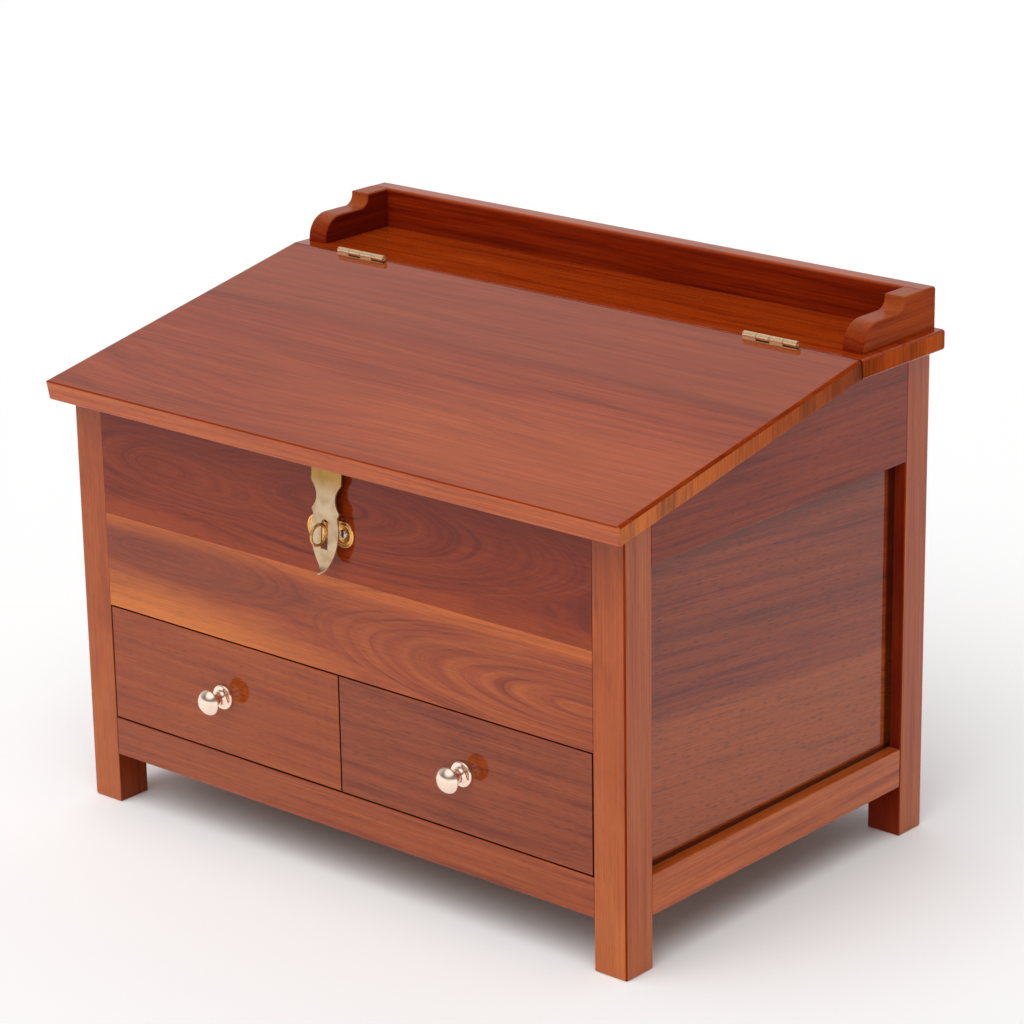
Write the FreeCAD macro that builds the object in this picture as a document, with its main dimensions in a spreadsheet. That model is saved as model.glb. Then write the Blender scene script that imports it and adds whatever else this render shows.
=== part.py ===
import FreeCAD, Part
import math
import os
import Sketcher
from FreeCAD import Placement, Rotation, Vector

# Small slant-top desk on four short legs: a sloping lid hinged to a fixed shelf with a low gallery,
# a brass hasp and staple in front, and two drawers side by side under the writing compartment.
# X runs from left to right, Y from front to back, Z up. The origin lies on the ground under the
# middle of the whole desk. Lengths are in millimetres, angles in degrees.

doc = FreeCAD.newDocument("slant_top_desk")
sheet = doc.addObject("Spreadsheet::Sheet", "dims")

DRIVING_SIZES = {
    # posts, rails and panels of the carcass
    "frame_width": "560",
    "frame_depth": "368",
    "post_size": "30",
    "post_round": "2",
    "foot_chamfer": "1.5",
    "foot_height": "42",
    "low_rail_height": "32",
    "top_rail_height": "38",
    "rail_thick": "22",
    "rail_round": "1.2",
    "tenon_thick": "8",
    "tenon_length": "12",
    "tenon_shoulder": "8",
    "panel_thick": "8",
    "panel_recess": "10",
    "groove_depth": "6",
    # front boards, compartment floor and drawer runners
    "board_thick": "18",
    "lower_board_height": "77.5",
    "floor_thick": "8",
    "floor_lift": "2",
    "cleat_height": "16",
    "runner_width": "24",
    "runner_height": "18",
    "guide_width": "8",
    "guide_height": "24",
    # lid, shelf and gallery
    "shelf_top": "409",
    "lid_thick": "16.3",
    "lid_slope": "11.1",
    "shelf_depth": "106",
    "lid_nose": "20",
    "lid_round": "3",
    "side_overhang": "11.5",
    "shelf_overhang": "3",
    "joint_gap": "0.5",
    "seat_gap": "0.3",
    "gallery_height": "33",
    "gallery_thick": "17",
    "gallery_inset": "7.5",
    "gallery_round": "1.5",
    "ear_thick": "19",
    "ear_setback": "11.5",
    "ear_rise": "2.5",
    "ear_cove": "9",
    "ear_crest": "2",
    "ear_crown_length": "24.5",
    # butt hinges of the lid
    "hinge_inset": "81.5",
    "hinge_length": "50.8",
    "hinge_leaf_thick": "1.4",
    "hinge_leaf_margin": "2.3",
    "hinge_screw_pitch": "17",
    "hinge_screw_drop": "7.7",
    "barrel_radius": "2.6",
    "barrel_clear": "0.3",
    "hinge_pin_radius": "1.3",
    "pin_clear": "0.05",
    "pin_recess": "1.2",
    "knuckle_gap": "0.3",
    "hinge_notch_clear": "0.3",
    # hasp under the lid's front edge
    "hasp_setback": "12.3",
    "hasp_width": "30.5",
    "hasp_thick": "1.6",
    "hasp_leaf_length": "34",
    "hasp_barrel_radius": "2.4",
    "hasp_barrel_clear": "0.6",
    "hasp_pin_radius": "1",
    "hasp_middle": "12",
    "hasp_screw_back": "26",
    "hasp_screw_spread": "9",
    "strap_lean": "5",
    "strap_neck_start": "13.5",
    "strap_waist_length": "21.5",
    "strap_waist_hollow": "5",
    "strap_shoulder_width": "28",
    "strap_notch_drop": "3.5",
    "strap_notch_width": "24.4",
    "strap_lobe_length": "27",
    "strap_lobe_swell": "2.1",
    "strap_lobe_end_width": "22.4",
    "strap_taper": "11.5",
    "strap_lip_width": "9.5",
    "strap_tip_width": "1.2",
    "strap_lip": "8.5",
    "strap_bend": "65",
    "slot_width": "6.8",
    "slot_inset": "2.7",
    "slot_height": "22.5",
    # staple on the front board
    "staple_plate_thick": "1.6",
    "staple_lobe_radius": "10.6",
    "staple_lobe_spread": "13",
    "staple_offset": "-1.9",
    "staple_plate_waist": "14",
    "ring_radius": "8",
    "ring_wire_radius": "1.15",
    "ring_stand_off": "13.6",
    "shank_radius": "1.8",
    "shank_depth": "14",
    # drawers
    "drawer_height": "96.5",
    "drawer_back_room": "20",
    "drawer_gap": "1.2",
    "drawer_round": "1",
    "guide_clear": "1",
    "slide_clear": "0.3",
    "drawer_side_thick": "9",
    "drawer_side_drop": "16.5",
    "drawer_lap": "8",
    "drawer_bottom_thick": "5",
    "drawer_bottom_lift": "8",
    "drawer_groove": "4",
    # knobs
    "knob_reach": "24",
    "knob_base_radius": "10.2",
    "knob_base_rim": "1.2",
    "knob_base_lip": "1.8",
    "knob_neck_radius": "4.2",
    "knob_head_radius": "10.7",
    "knob_head_low": "10.8",
    "knob_brim": "1.8",
    "knob_bore_depth": "10",
    "knob_bore_spare": "1",
    # screws
    "wood_screw_radius": "1.3",
    "wood_screw_head_radius": "2.6",
    "wood_screw_head_height": "1.3",
    "wood_screw_length": "14",
    "hasp_screw_length": "11",
    "round_head_radius": "3.6",
    "round_head_top_radius": "2.4",
    "round_head_height": "2.2",
    "round_head_screw_length": "13",
    "knob_screw_radius": "2",
    "knob_screw_head_radius": "4",
    "knob_screw_head_height": "2.6",
    "knob_screw_clear": "0.3",
}

WORKED_OUT_SIZES = {
    "half_width": "=frame_width / 2",
    "post_inner": "=half_width - post_size",
    "ring_reach": "=ring_stand_off + ring_radius + ring_wire_radius",
    "front_reach": "=max(knob_reach; ring_reach; lid_nose)",
    "front": "=(front_reach - frame_depth - shelf_overhang) / 2",
    "back": "=front + frame_depth",
    "post_rear": "=front + post_size",
    "back_post_front": "=back - post_size",
    "rail_top": "=foot_height + low_rail_height",
    "drawer_top": "=rail_top + drawer_height",
    "board_joint": "=drawer_top + lower_board_height",
    "floor_bottom": "=drawer_top + floor_lift",
    "panel_out": "=half_width - panel_recess",
    "panel_in": "=panel_out - panel_thick",
    "lid_run": "=frame_depth - shelf_depth",
    "hinge_line": "=front + lid_run",
    "shelf_under": "=shelf_top - lid_thick",
    "shelf_half": "=half_width + side_overhang",
    "half_slope": "=lid_slope / 2",
    "lid_length": "=(lid_run + lid_nose) / cos(lid_slope)",
    "lid_joint_face": "=joint_gap / 2",
    "lid_joint_drop": "=lid_joint_face * tan(half_slope)",
    "lid_under_drop": "=lid_joint_drop + lid_thick / cos(half_slope)",
    "seat_front": "=shelf_top - lid_run * tan(lid_slope) - (lid_thick + seat_gap) / cos(lid_slope)",
    "seat_post": "=seat_front + post_size * tan(lid_slope)",
    "seat_board": "=seat_front + board_thick * tan(lid_slope)",
    "seat_break": "=front + (shelf_under - seat_front) / tan(lid_slope)",
    "top_rail_bottom": "=seat_post - top_rail_height",
    "shelf_front": "=hinge_line + lid_joint_face / cos(half_slope)",
    "gallery_half": "=shelf_half - gallery_inset",
    "gallery_front": "=back - gallery_thick",
    "gallery_top": "=shelf_top + gallery_height",
    "ear_front": "=hinge_line + ear_setback",
    "ear_step": "=gallery_front - ear_front - ear_crown_length",
    "ear_shoulder": "=gallery_height - ear_crest - ear_cove",
    "ear_shoulder_top": "=shelf_top + ear_shoulder",
    "ear_nose": "=ear_shoulder - ear_rise",
    "hinge_spread": "=shelf_half - hinge_inset",
    "hinge_leaf_drop": "=lid_thick - hinge_leaf_margin",
    "barrel_lift": "=barrel_radius + barrel_clear",
    "knuckle_pitch": "=hinge_length / 4",
    "knuckle_length": "=knuckle_pitch - knuckle_gap",
    "hinge_set": "=barrel_radius - lid_joint_face",
    "hinge_notch": "=barrel_radius + hinge_set",
    "hasp_half": "=hasp_width / 2",
    "hasp_run": "=lid_length - hasp_setback",
    "hasp_drop": "=hasp_barrel_radius + hasp_barrel_clear",
    "hasp_y": "=hinge_line - hasp_run * cos(lid_slope) + lid_thick * sin(lid_slope)",
    "hasp_z": "=shelf_top - hasp_run * sin(lid_slope) - lid_thick * cos(lid_slope)",
    "hasp_axis_y": "=hasp_y + hasp_drop * sin(lid_slope)",
    "hasp_axis_z": "=hasp_z - hasp_drop * cos(lid_slope)",
    "strap_half_thick": "=hasp_thick / 2",
    "strap_shoulder_half": "=strap_shoulder_width / 2",
    "strap_notch_half": "=strap_notch_width / 2",
    "strap_lobe_end_half": "=strap_lobe_end_width / 2",
    "strap_lip_half": "=strap_lip_width / 2",
    "strap_tip_half": "=strap_tip_width / 2",
    "strap_shoulder": "=strap_neck_start + strap_waist_length",
    "strap_notch": "=strap_shoulder + strap_notch_drop",
    "strap_lobe_end": "=strap_notch + strap_lobe_length",
    "strap_length": "=strap_lobe_end + strap_taper",
    "strap_waist_chord": "=sqrt(strap_waist_length ^ 2 + (hasp_half - strap_shoulder_half) ^ 2)",
    "strap_waist_radius": "=strap_waist_chord ^ 2 / (8 * strap_waist_hollow) + strap_waist_hollow / 2",
    "strap_lobe_chord": "=sqrt(strap_lobe_length ^ 2 + (strap_notch_half - strap_lobe_end_half) ^ 2)",
    "strap_lobe_radius": "=strap_lobe_chord ^ 2 / (8 * strap_lobe_swell) + strap_lobe_swell / 2",
    "slot_top": "=strap_notch + slot_inset",
    "slot_middle": "=slot_top + slot_height / 2",
    "strap_corner": "=strap_half_thick * tan(strap_bend / 2)",
    "strap_tip_out": "=strap_lip * sin(strap_bend)",
    "strap_tip_down": "=strap_length + strap_lip * cos(strap_bend)",
    "strap_tip_across": "=strap_half_thick * cos(strap_bend)",
    "strap_tip_along": "=strap_half_thick * sin(strap_bend)",
    "ring_y": "=front - ring_stand_off",
    "staple_height": "=hasp_axis_z - slot_middle * cos(strap_lean)",
    "drawer_length": "=frame_depth - panel_recess - panel_thick - drawer_back_room",
    "drawer_side_height": "=drawer_height - drawer_side_drop",
    "drawer_front_width": "=post_inner - 1.5 * drawer_gap",
    "drawer_x": "=(drawer_gap + drawer_front_width) / 2",
    "drawer_half": "=drawer_front_width / 2",
    "drawer_side_out": "=drawer_half - guide_width / 2 - guide_clear + drawer_gap / 2",
    "drawer_side_in": "=drawer_side_out - drawer_side_thick",
    "drawer_bottom_half": "=drawer_side_in + drawer_groove",
    "drawer_bottom_top": "=drawer_bottom_lift + drawer_bottom_thick",
    "knob_height": "=drawer_height / 2",
    "knob_screw_length": "=board_thick + knob_bore_depth - knob_bore_spare",
    "knob_cove": "=knob_base_radius - knob_base_lip - knob_neck_radius",
    "knob_flare": "=knob_head_radius - knob_brim - knob_neck_radius",
    "knob_lip_top": "=knob_base_rim + knob_base_lip",
    "knob_brim_low": "=knob_head_low + knob_flare",
    "knob_widest": "=knob_brim_low + knob_brim",
    "knob_crown": "=knob_reach - knob_widest",
    "knob_crown_radius": "=(knob_head_radius ^ 2 + knob_crown ^ 2) / (2 * knob_crown)",
}

for row, (alias, content) in enumerate({**DRIVING_SIZES, **WORKED_OUT_SIZES}.items(), start=1):
    sheet.set(f"A{row}", alias)
    sheet.set(f"B{row}", content)
    sheet.setAlias(f"B{row}", alias)
doc.recompute()

AXIS_X = Vector(1, 0, 0)
AXIS_Y = Vector(0, 1, 0)
AXIS_Z = Vector(0, 0, 1)

pieces = {}


def value(formula):
    """Present value of a formula on the sheet's sizes."""
    return float(sheet.evalExpression(formula))


def keep(name, thing):
    """Name a finished piece of the desk."""
    thing.Label = name
    pieces[name] = thing
    return thing


def place(thing, x="0", y="0", z="0", turn="0", axis=AXIS_X):
    """Bind a thing's place, with a turn in degrees about one axis."""
    thing.Placement = Placement(Vector(), Rotation(axis, 1))
    for letter, formula in zip("xyz", (x, y, z)):
        thing.setExpression(f"Placement.Base.{letter}", formula)
    thing.setExpression("Placement.Rotation.Angle", turn)
    return thing


def new_body(name):
    """Empty body for one piece."""
    return doc.addObject("PartDesign::Body", name)


def block(body, kind, x, y, z):
    """Add or cut a straight block between a low and a high bound along each axis."""
    solid = body.newObject(f"PartDesign::{kind}Box", f"{body.Name}_block")
    for size, letter, (low, high) in zip(("Length", "Width", "Height"), "xyz", (x, y, z)):
        solid.setExpression(size, f"({high}) - ({low})")
        solid.setExpression(f"Placement.Base.{letter}", low)
    return solid


def rod(body, kind, radius, length, axis, angle, x="0", y="0", z="0"):
    """Add or cut a round rod that starts at a point and runs along the turned Z axis."""
    solid = body.newObject(f"PartDesign::{kind}Cylinder", f"{body.Name}_rod")
    solid.setExpression("Radius", radius)
    solid.setExpression("Height", length)
    place(solid, x, y, z, angle, axis)
    return solid


def mirrored_x(bounds):
    """Bounds on the other side of the desk's middle plane."""
    low, high = bounds
    return f"-({high})", f"-({low})"


def board(name, x, y, z, added=(), cuts=()):
    """Straight board with tenons added and grooves or mortises cut."""
    body = new_body(name)
    block(body, "Additive", x, y, z)
    for bounds in added:
        block(body, "Additive", *bounds)
    for bounds in cuts:
        block(body, "Subtractive", *bounds)
    return body


def arc_between(start, end, radius, side):
    """Arc of under a half circle; side 1 bulges to the right of the way, -1 to the left."""
    chord = end - start
    right = Vector(chord.y, -chord.x, 0).normalize()
    depth = math.sqrt(max(radius ** 2 - (chord.Length / 2) ** 2, 0))
    centre = (start + end) / 2 - right * depth * side
    first, last = (start, end) if side > 0 else (end, start)
    angles = [math.atan2(point.y - centre.y, point.x - centre.x) for point in (first, last)]
    return Part.ArcOfCircle(Part.Circle(centre, AXIS_Z, radius), *angles)


def outline(body, role, corners, offset="0"):
    """Closed outline on one of the body's origin planes, every corner bound to the sheet.

    A corner is (across, up), or (across, up, radius, side) where an arc leaves it.
    """
    sketch = body.newObject("Sketcher::SketchObject", f"{body.Name}_outline")
    plane = next(item for item in body.Origin.OriginFeatures if item.Role == role)
    sketch.AttachmentSupport = (plane, [""])
    sketch.MapMode = "FlatFace"
    sketch.setExpression("AttachmentOffset.Base.z", offset)
    points = [Vector(value(corner[0]), value(corner[1]), 0) for corner in corners]
    ends = []
    for index, corner in enumerate(corners):
        start, end = points[index], points[(index + 1) % len(points)]
        if len(corner) == 2:
            sketch.addGeometry(Part.LineSegment(start, end))
            ends.append((1, 2))
            continue
        radius, side = corner[2:]
        sketch.addGeometry(arc_between(start, end, value(radius), side))
        ends.append((1, 2) if side > 0 else (2, 1))
        bind_constraint(sketch, f"radius{index}", radius, "Radius", index)
    for index, (first, last) in enumerate(ends):
        following = (index + 1) % len(ends)
        sketch.addConstraint(Sketcher.Constraint("Coincident", index, last, following, ends[following][0]))
        across, up = corners[index][:2]
        bind_constraint(sketch, f"across{index}", across, "DistanceX", -1, 1, index, first)
        bind_constraint(sketch, f"up{index}", up, "DistanceY", -1, 1, index, first)
    return sketch


def bind_constraint(sketch, name, formula, kind, *places):
    """Constraint whose size follows a formula on the sheet."""
    number = sketch.addConstraint(Sketcher.Constraint(kind, *places, value(formula)))
    sketch.renameConstraint(number, name)
    sketch.setExpression(f"Constraints.{name}", formula)


def pad(body, sketch, length, both_ways=False):
    """Raise an outline to a solid, off its plane or half to each side of it."""
    solid = body.newObject("PartDesign::Pad", f"{body.Name}_pad")
    solid.Profile = sketch
    solid.Midplane = both_ways
    solid.setExpression("Length", length)
    return solid


def ease(body, kind, size, wanted):
    """Fillet or chamfer the edges of a body whose bounding box passes a test."""
    doc.recompute()
    solid = body.Tip
    names = [f"Edge{n}" for n, edge in enumerate(solid.Shape.Edges, start=1) if wanted(edge.BoundBox)]
    easing = body.newObject(f"PartDesign::{kind}", f"{body.Name}_{kind.lower()}")
    easing.Base = (solid, names)
    easing.setExpression("Radius" if kind == "Fillet" else "Size", size)
    return body


def same(first, second):
    """True where two lengths are equal to within the modelling tolerance."""
    return abs(first - second) < 1e-4


def cut(name, base, tools):
    """Cut one or more things out of a base."""
    for tool in tools:
        result = doc.addObject("Part::Cut", f"{name}_cut")
        result.Base = base
        result.Tool = tool
        base = result
    return base


def mirror(name, thing):
    """Left-hand twin of a right-hand piece."""
    twin = doc.addObject("Part::Mirroring", name)
    twin.Source = thing
    twin.Normal = AXIS_X
    return twin


def keep_pair(name, thing):
    """Keep a right-hand piece and its left-hand twin."""
    keep(f"{name}_right", thing)
    keep(f"{name}_left", mirror(f"{name}_left", thing))


def screw(name, radius, length, top_radius, seat_radius, head_height, head_start):
    """Screw along its own Z, with its head seated at the origin or sunk below it."""
    head = doc.addObject("Part::Cone", f"{name}_head")
    head.setExpression("Radius1", top_radius)
    head.setExpression("Radius2", seat_radius)
    head.setExpression("Height", head_height)
    head.setExpression("Placement.Base.z", head_start)
    shank = doc.addObject("Part::Cylinder", f"{name}_shank")
    shank.setExpression("Radius", radius)
    shank.setExpression("Height", length)
    whole = doc.addObject("Part::Fuse", name)
    whole.Base = head
    whole.Tool = shank
    return whole


def countersunk_screw(name, length):
    """Wood screw with its head sunk flush."""
    return screw(name, "dims.wood_screw_radius", length, "dims.wood_screw_head_radius",
                 "dims.wood_screw_radius", "dims.wood_screw_head_height", "0")


def group(name, members):
    """Several solids kept as one piece."""
    whole = doc.addObject("Part::Compound", name)
    whole.Links = members
    return whole


# Bounds that more than one piece shares

half_tenon = "dims.tenon_thick / 2"
front_rail_mid = "dims.front + dims.rail_thick / 2"
front_board_mid = "dims.front + dims.board_thick / 2"
back_rail_mid = "dims.back - dims.rail_thick / 2"
side_rail_mid = "dims.half_width - dims.rail_thick / 2"

between_posts_x = ("-dims.post_inner", "dims.post_inner")
between_posts_y = ("dims.post_rear", "dims.back_post_front")
front_rail_y = ("dims.front", "dims.front + dims.rail_thick")
front_board_y = ("dims.front", "dims.front + dims.board_thick")
back_rail_y = ("dims.back - dims.rail_thick", "dims.back")
side_rail_x = ("dims.half_width - dims.rail_thick", "dims.half_width")
low_rail_z = ("dims.foot_height", "dims.rail_top")
panel_x = ("dims.panel_in", "dims.panel_out")
panel_z = ("dims.rail_top - dims.groove_depth", "dims.top_rail_bottom + dims.groove_depth")
back_panel_y = ("dims.back - dims.panel_recess - dims.panel_thick", "dims.back - dims.panel_recess")

into_post_x = ("dims.post_inner", "dims.post_inner + dims.tenon_length")
into_front_post_y = ("dims.post_rear - dims.tenon_length", "dims.post_rear")
into_back_post_y = ("dims.back_post_front", "dims.back_post_front + dims.tenon_length")
front_rail_tenon_y = (f"{front_rail_mid} - {half_tenon}", f"{front_rail_mid} + {half_tenon}")
front_board_tongue_y = (f"{front_board_mid} - {half_tenon}", f"{front_board_mid} + {half_tenon}")
back_rail_tenon_y = (f"{back_rail_mid} - {half_tenon}", f"{back_rail_mid} + {half_tenon}")
side_rail_tenon_x = (f"{side_rail_mid} - {half_tenon}", f"{side_rail_mid} + {half_tenon}")
low_tenon_z = ("dims.foot_height + dims.tenon_shoulder", "dims.rail_top - dims.tenon_shoulder")
top_tenon_low = "dims.top_rail_bottom + dims.tenon_shoulder"
front_top_tenon_z = (top_tenon_low, "dims.seat_post - dims.tenon_shoulder")
back_top_tenon_z = (top_tenon_low, "dims.shelf_under - dims.tenon_shoulder")
lower_tongue_z = ("dims.drawer_top + dims.tenon_shoulder", "dims.board_joint")
upper_tongue_z = ("dims.board_joint", "dims.seat_front - dims.tenon_shoulder")

front_rail_tenon = (into_post_x, front_rail_tenon_y, low_tenon_z)
lower_board_tongue = (into_post_x, front_board_tongue_y, lower_tongue_z)
upper_board_tongue = (into_post_x, front_board_tongue_y, upper_tongue_z)
back_low_tenon = (into_post_x, back_rail_tenon_y, low_tenon_z)
back_top_tenon = (into_post_x, back_rail_tenon_y, back_top_tenon_z)
side_low_front_tenon = (side_rail_tenon_x, into_front_post_y, low_tenon_z)
side_low_back_tenon = (side_rail_tenon_x, into_back_post_y, low_tenon_z)
side_top_front_tenon = (side_rail_tenon_x, into_front_post_y, front_top_tenon_z)
side_top_back_tenon = (side_rail_tenon_x, into_back_post_y, back_top_tenon_z)
side_panel = (panel_x, ("dims.post_rear - dims.groove_depth", "dims.back_post_front + dims.groove_depth"),
              panel_z)
back_panel = (("-dims.post_inner - dims.groove_depth", "dims.post_inner + dims.groove_depth"), back_panel_y,
              panel_z)


def both_ends(bounds):
    """The same bounds at the right and at the left end of a rail."""
    x, y, z = bounds
    return bounds, (mirrored_x(x), y, z)


# Posts: the front pair ends in the slope of the lid, the rear pair carries the shelf

front_post = new_body("front_post")
front_post_outline = outline(front_post, "YZ_Plane", (
    ("dims.front", "0"),
    ("dims.post_rear", "0"),
    ("dims.post_rear", "dims.seat_post"),
    ("dims.front", "dims.seat_front"),
), offset="dims.post_inner")
pad(front_post, front_post_outline, "dims.post_size")
for mortise in (front_rail_tenon, lower_board_tongue, upper_board_tongue, side_low_front_tenon,
                side_top_front_tenon, side_panel):
    block(front_post, "Subtractive", *mortise)

rear_post = board("rear_post", ("dims.post_inner", "dims.half_width"), ("dims.back_post_front", "dims.back"),
                  ("0", "dims.shelf_under"),
                  cuts=(back_low_tenon, back_top_tenon, side_low_back_tenon, side_top_back_tenon, side_panel,
                        back_panel))

for post, outer_y in ((front_post, "dims.front"), (rear_post, "dims.back")):
    corner_x = value("dims.half_width")
    corner_y = value(outer_y)
    ease(post, "Fillet", "dims.post_round",
         lambda box: all((same(box.XMin, corner_x), same(box.XMax, corner_x),
                          same(box.YMin, corner_y), same(box.YMax, corner_y))))
    ease(post, "Chamfer", "dims.foot_chamfer", lambda box: same(box.ZMax, 0))
keep_pair("post_front", front_post)
keep_pair("post_rear", rear_post)

# Side rails and panels

upper_rail = new_body("upper_rail")
upper_rail_outline = outline(upper_rail, "YZ_Plane", (
    ("dims.post_rear", "dims.top_rail_bottom"),
    ("dims.back_post_front", "dims.top_rail_bottom"),
    ("dims.back_post_front", "dims.shelf_under"),
    ("dims.seat_break", "dims.shelf_under"),
    ("dims.post_rear", "dims.seat_post"),
), offset=side_rail_x[0])
pad(upper_rail, upper_rail_outline, "dims.rail_thick")
block(upper_rail, "Additive", *side_top_front_tenon)
block(upper_rail, "Additive", *side_top_back_tenon)
block(upper_rail, "Subtractive", *side_panel)

lower_rail = board("lower_rail", side_rail_x, between_posts_y, low_rail_z,
                   added=(side_low_front_tenon, side_low_back_tenon), cuts=(side_panel,))

for rail, edge_z in ((upper_rail, "dims.top_rail_bottom"), (lower_rail, "dims.rail_top")):
    height = value(edge_z)
    outside = value("dims.half_width")
    ease(rail, "Fillet", "dims.rail_round",
         lambda box: all((same(box.ZMin, height), same(box.ZMax, height), same(box.XMin, outside))))
keep_pair("side_upper_rail", upper_rail)
keep_pair("side_lower_rail", lower_rail)
keep_pair("side_panel", board("panel", *side_panel))

# Back frame and panel

keep("back_lower_rail", board("back_low", between_posts_x, back_rail_y, low_rail_z,
                              added=both_ends(back_low_tenon), cuts=(back_panel,)))
keep("back_upper_rail", board("back_top", between_posts_x, back_rail_y,
                              ("dims.top_rail_bottom", "dims.shelf_under"),
                              added=both_ends(back_top_tenon), cuts=(back_panel,)))
keep("back_panel", board("back_sheet", *back_panel))

# Front rail and the two front boards; the lower board carries the compartment floor in a groove

keep("front_bottom_rail", board("front_rail", between_posts_x, front_rail_y, low_rail_z,
                                added=both_ends(front_rail_tenon)))

floor_front = "dims.front + dims.board_thick - dims.groove_depth"
floor_z = ("dims.floor_bottom", "dims.floor_bottom + dims.floor_thick")
floor_bounds = (("-dims.panel_in", "dims.panel_in"), (floor_front, back_panel_y[0]), floor_z)
lower_board = board("lower_board", between_posts_x, front_board_y, ("dims.drawer_top", "dims.board_joint"),
                    added=both_ends(lower_board_tongue), cuts=(floor_bounds,))

upper_board = new_body("upper_board")
upper_board_outline = outline(upper_board, "YZ_Plane", (
    (front_board_y[0], "dims.board_joint"),
    (front_board_y[1], "dims.board_joint"),
    (front_board_y[1], "dims.seat_board"),
    (front_board_y[0], "dims.seat_front"),
))
pad(upper_board, upper_board_outline, "2 * dims.post_inner", both_ways=True)
for tongue in both_ends(upper_board_tongue):
    block(upper_board, "Additive", *tongue)

# Compartment floor, notched round the posts, on a cleat at each side

post_side_x = ("dims.post_inner", "dims.panel_in")
front_notch_y = (floor_front, "dims.post_rear")
back_notch_y = ("dims.back_post_front", back_panel_y[0])
floor_notches = [bounds for y in (front_notch_y, back_notch_y)
                 for bounds in both_ends((post_side_x, y, floor_z))]
keep("compartment_floor", board("floor", *floor_bounds, cuts=floor_notches))
keep_pair("floor_cleat", board("cleat", post_side_x, between_posts_y,
                               ("dims.floor_bottom - dims.cleat_height", "dims.floor_bottom")))

# Drawer runners between the front and back rails, and the guide between the drawers

runner_y = (front_rail_y[1], back_rail_y[0])
runner_z = ("dims.rail_top - dims.runner_height", "dims.rail_top")
keep_pair("drawer_runner", board("runner", ("dims.post_inner - dims.runner_width", "dims.post_inner"),
                                 runner_y, runner_z))
keep("drawer_runner_centre", board("centre_runner", ("-dims.runner_width", "dims.runner_width"), runner_y,
                                   runner_z))
keep("drawer_guide", board("guide", ("-dims.guide_width / 2", "dims.guide_width / 2"), runner_y,
                           ("dims.rail_top", "dims.rail_top + dims.guide_height")))

# Lid hinges, let wholly into the lid's rear edge: one leaf lies on the shelf's edge, the other on the
# front wall of the notch, and the barrel lies between and above them. Hinge things are made about the
# joint line and then turned by half the lid's slope.

hinge_frame = {"y": "dims.hinge_line", "z": "dims.shelf_top", "turn": "dims.half_slope"}
hinge_half = "dims.hinge_length / 2"
hinge_x = (f"-{hinge_half}", hinge_half)
hinge_leaf_z = ("-dims.hinge_leaf_drop", "-dims.barrel_clear")
leaf_y = {
    "shelf": ("dims.lid_joint_face - dims.hinge_leaf_thick", "dims.lid_joint_face"),
    "lid": ("-dims.hinge_notch", "dims.hinge_leaf_thick - dims.hinge_notch"),
}
knuckles = {"lid": (0, 2), "shelf": (1, 3)}
barrel_axis = {"y": "-dims.hinge_set", "z": "dims.barrel_lift"}
hinge_places = {"left": "-dims.hinge_spread", "right": "dims.hinge_spread"}


def hinge_leaf(name, owner, x):
    """Plate in the joint with two knuckles of the barrel, bored for the pin."""
    body = board(name, hinge_x, leaf_y[owner], hinge_leaf_z)
    for number in knuckles[owner]:
        start = f"-{hinge_half} + {number} * dims.knuckle_pitch + dims.knuckle_gap / 2"
        stretch = (start, f"{start} + dims.knuckle_length")
        block(body, "Additive", stretch, leaf_y[owner], ("-dims.barrel_clear", "dims.barrel_lift"))
        rod(body, "Additive", "dims.barrel_radius", "dims.knuckle_length", AXIS_Y, "90",
            x=start, **barrel_axis)
    rod(body, "Subtractive", "dims.hinge_pin_radius + dims.pin_clear", "dims.hinge_length", AXIS_Y, "90",
        x=f"-{hinge_half}", **barrel_axis)
    return place(body, x=x, **hinge_frame)


def hinge_notch(name, x):
    """Notch for a whole hinge through the lid's rear edge."""
    reach = f"({hinge_half} + dims.hinge_notch_clear)"
    body = board(name, (f"-{reach}", reach), ("-dims.hinge_notch", "dims.joint_gap"),
                 ("-2 * dims.lid_thick", "dims.barrel_lift"))
    return place(body, x=x, **hinge_frame)


def hinge_screws(owner):
    """Three screws through each of an owner's leaves, both hinges together."""
    low, high = leaf_y[owner]
    face, turn = (high, "90") if owner == "lid" else (low, "-90")
    screws = []
    for side, x in hinge_places.items():
        for step in (-1, 0, 1):
            one = countersunk_screw(f"{owner}_hinge_screw", "dims.wood_screw_length")
            screws.append(place(one, f"{x} + {step} * dims.hinge_screw_pitch", face,
                                "-dims.hinge_screw_drop", turn))
    return place(group(f"{owner}_hinge_screws", screws), **hinge_frame)


screws_in = {owner: keep(f"hinge_screws_{owner}", hinge_screws(owner)) for owner in leaf_y}
hinge_notches = [hinge_notch(f"notch_{side}", x) for side, x in hinge_places.items()]
for side, x in hinge_places.items():
    for owner in leaf_y:
        leaf = hinge_leaf(f"{owner}_leaf_{side}", owner, x)
        keep(f"hinge_{side}_{owner}_leaf", cut(f"{owner}_leaf_{side}", leaf, [screws_in[owner]]))
    pin = new_body(f"hinge_pin_{side}")
    rod(pin, "Additive", "dims.hinge_pin_radius", "dims.hinge_length - 2 * dims.pin_recess", AXIS_Y, "90",
        x=f"dims.pin_recess - {hinge_half}", **barrel_axis)
    keep(f"hinge_{side}_pin", place(pin, x=x, **hinge_frame))

# Hasp under the lid: a leaf let flush into the underside, and a strap that hangs from its pin.
# The leaf is made about a point of the underside and turned by the lid's slope.

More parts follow.
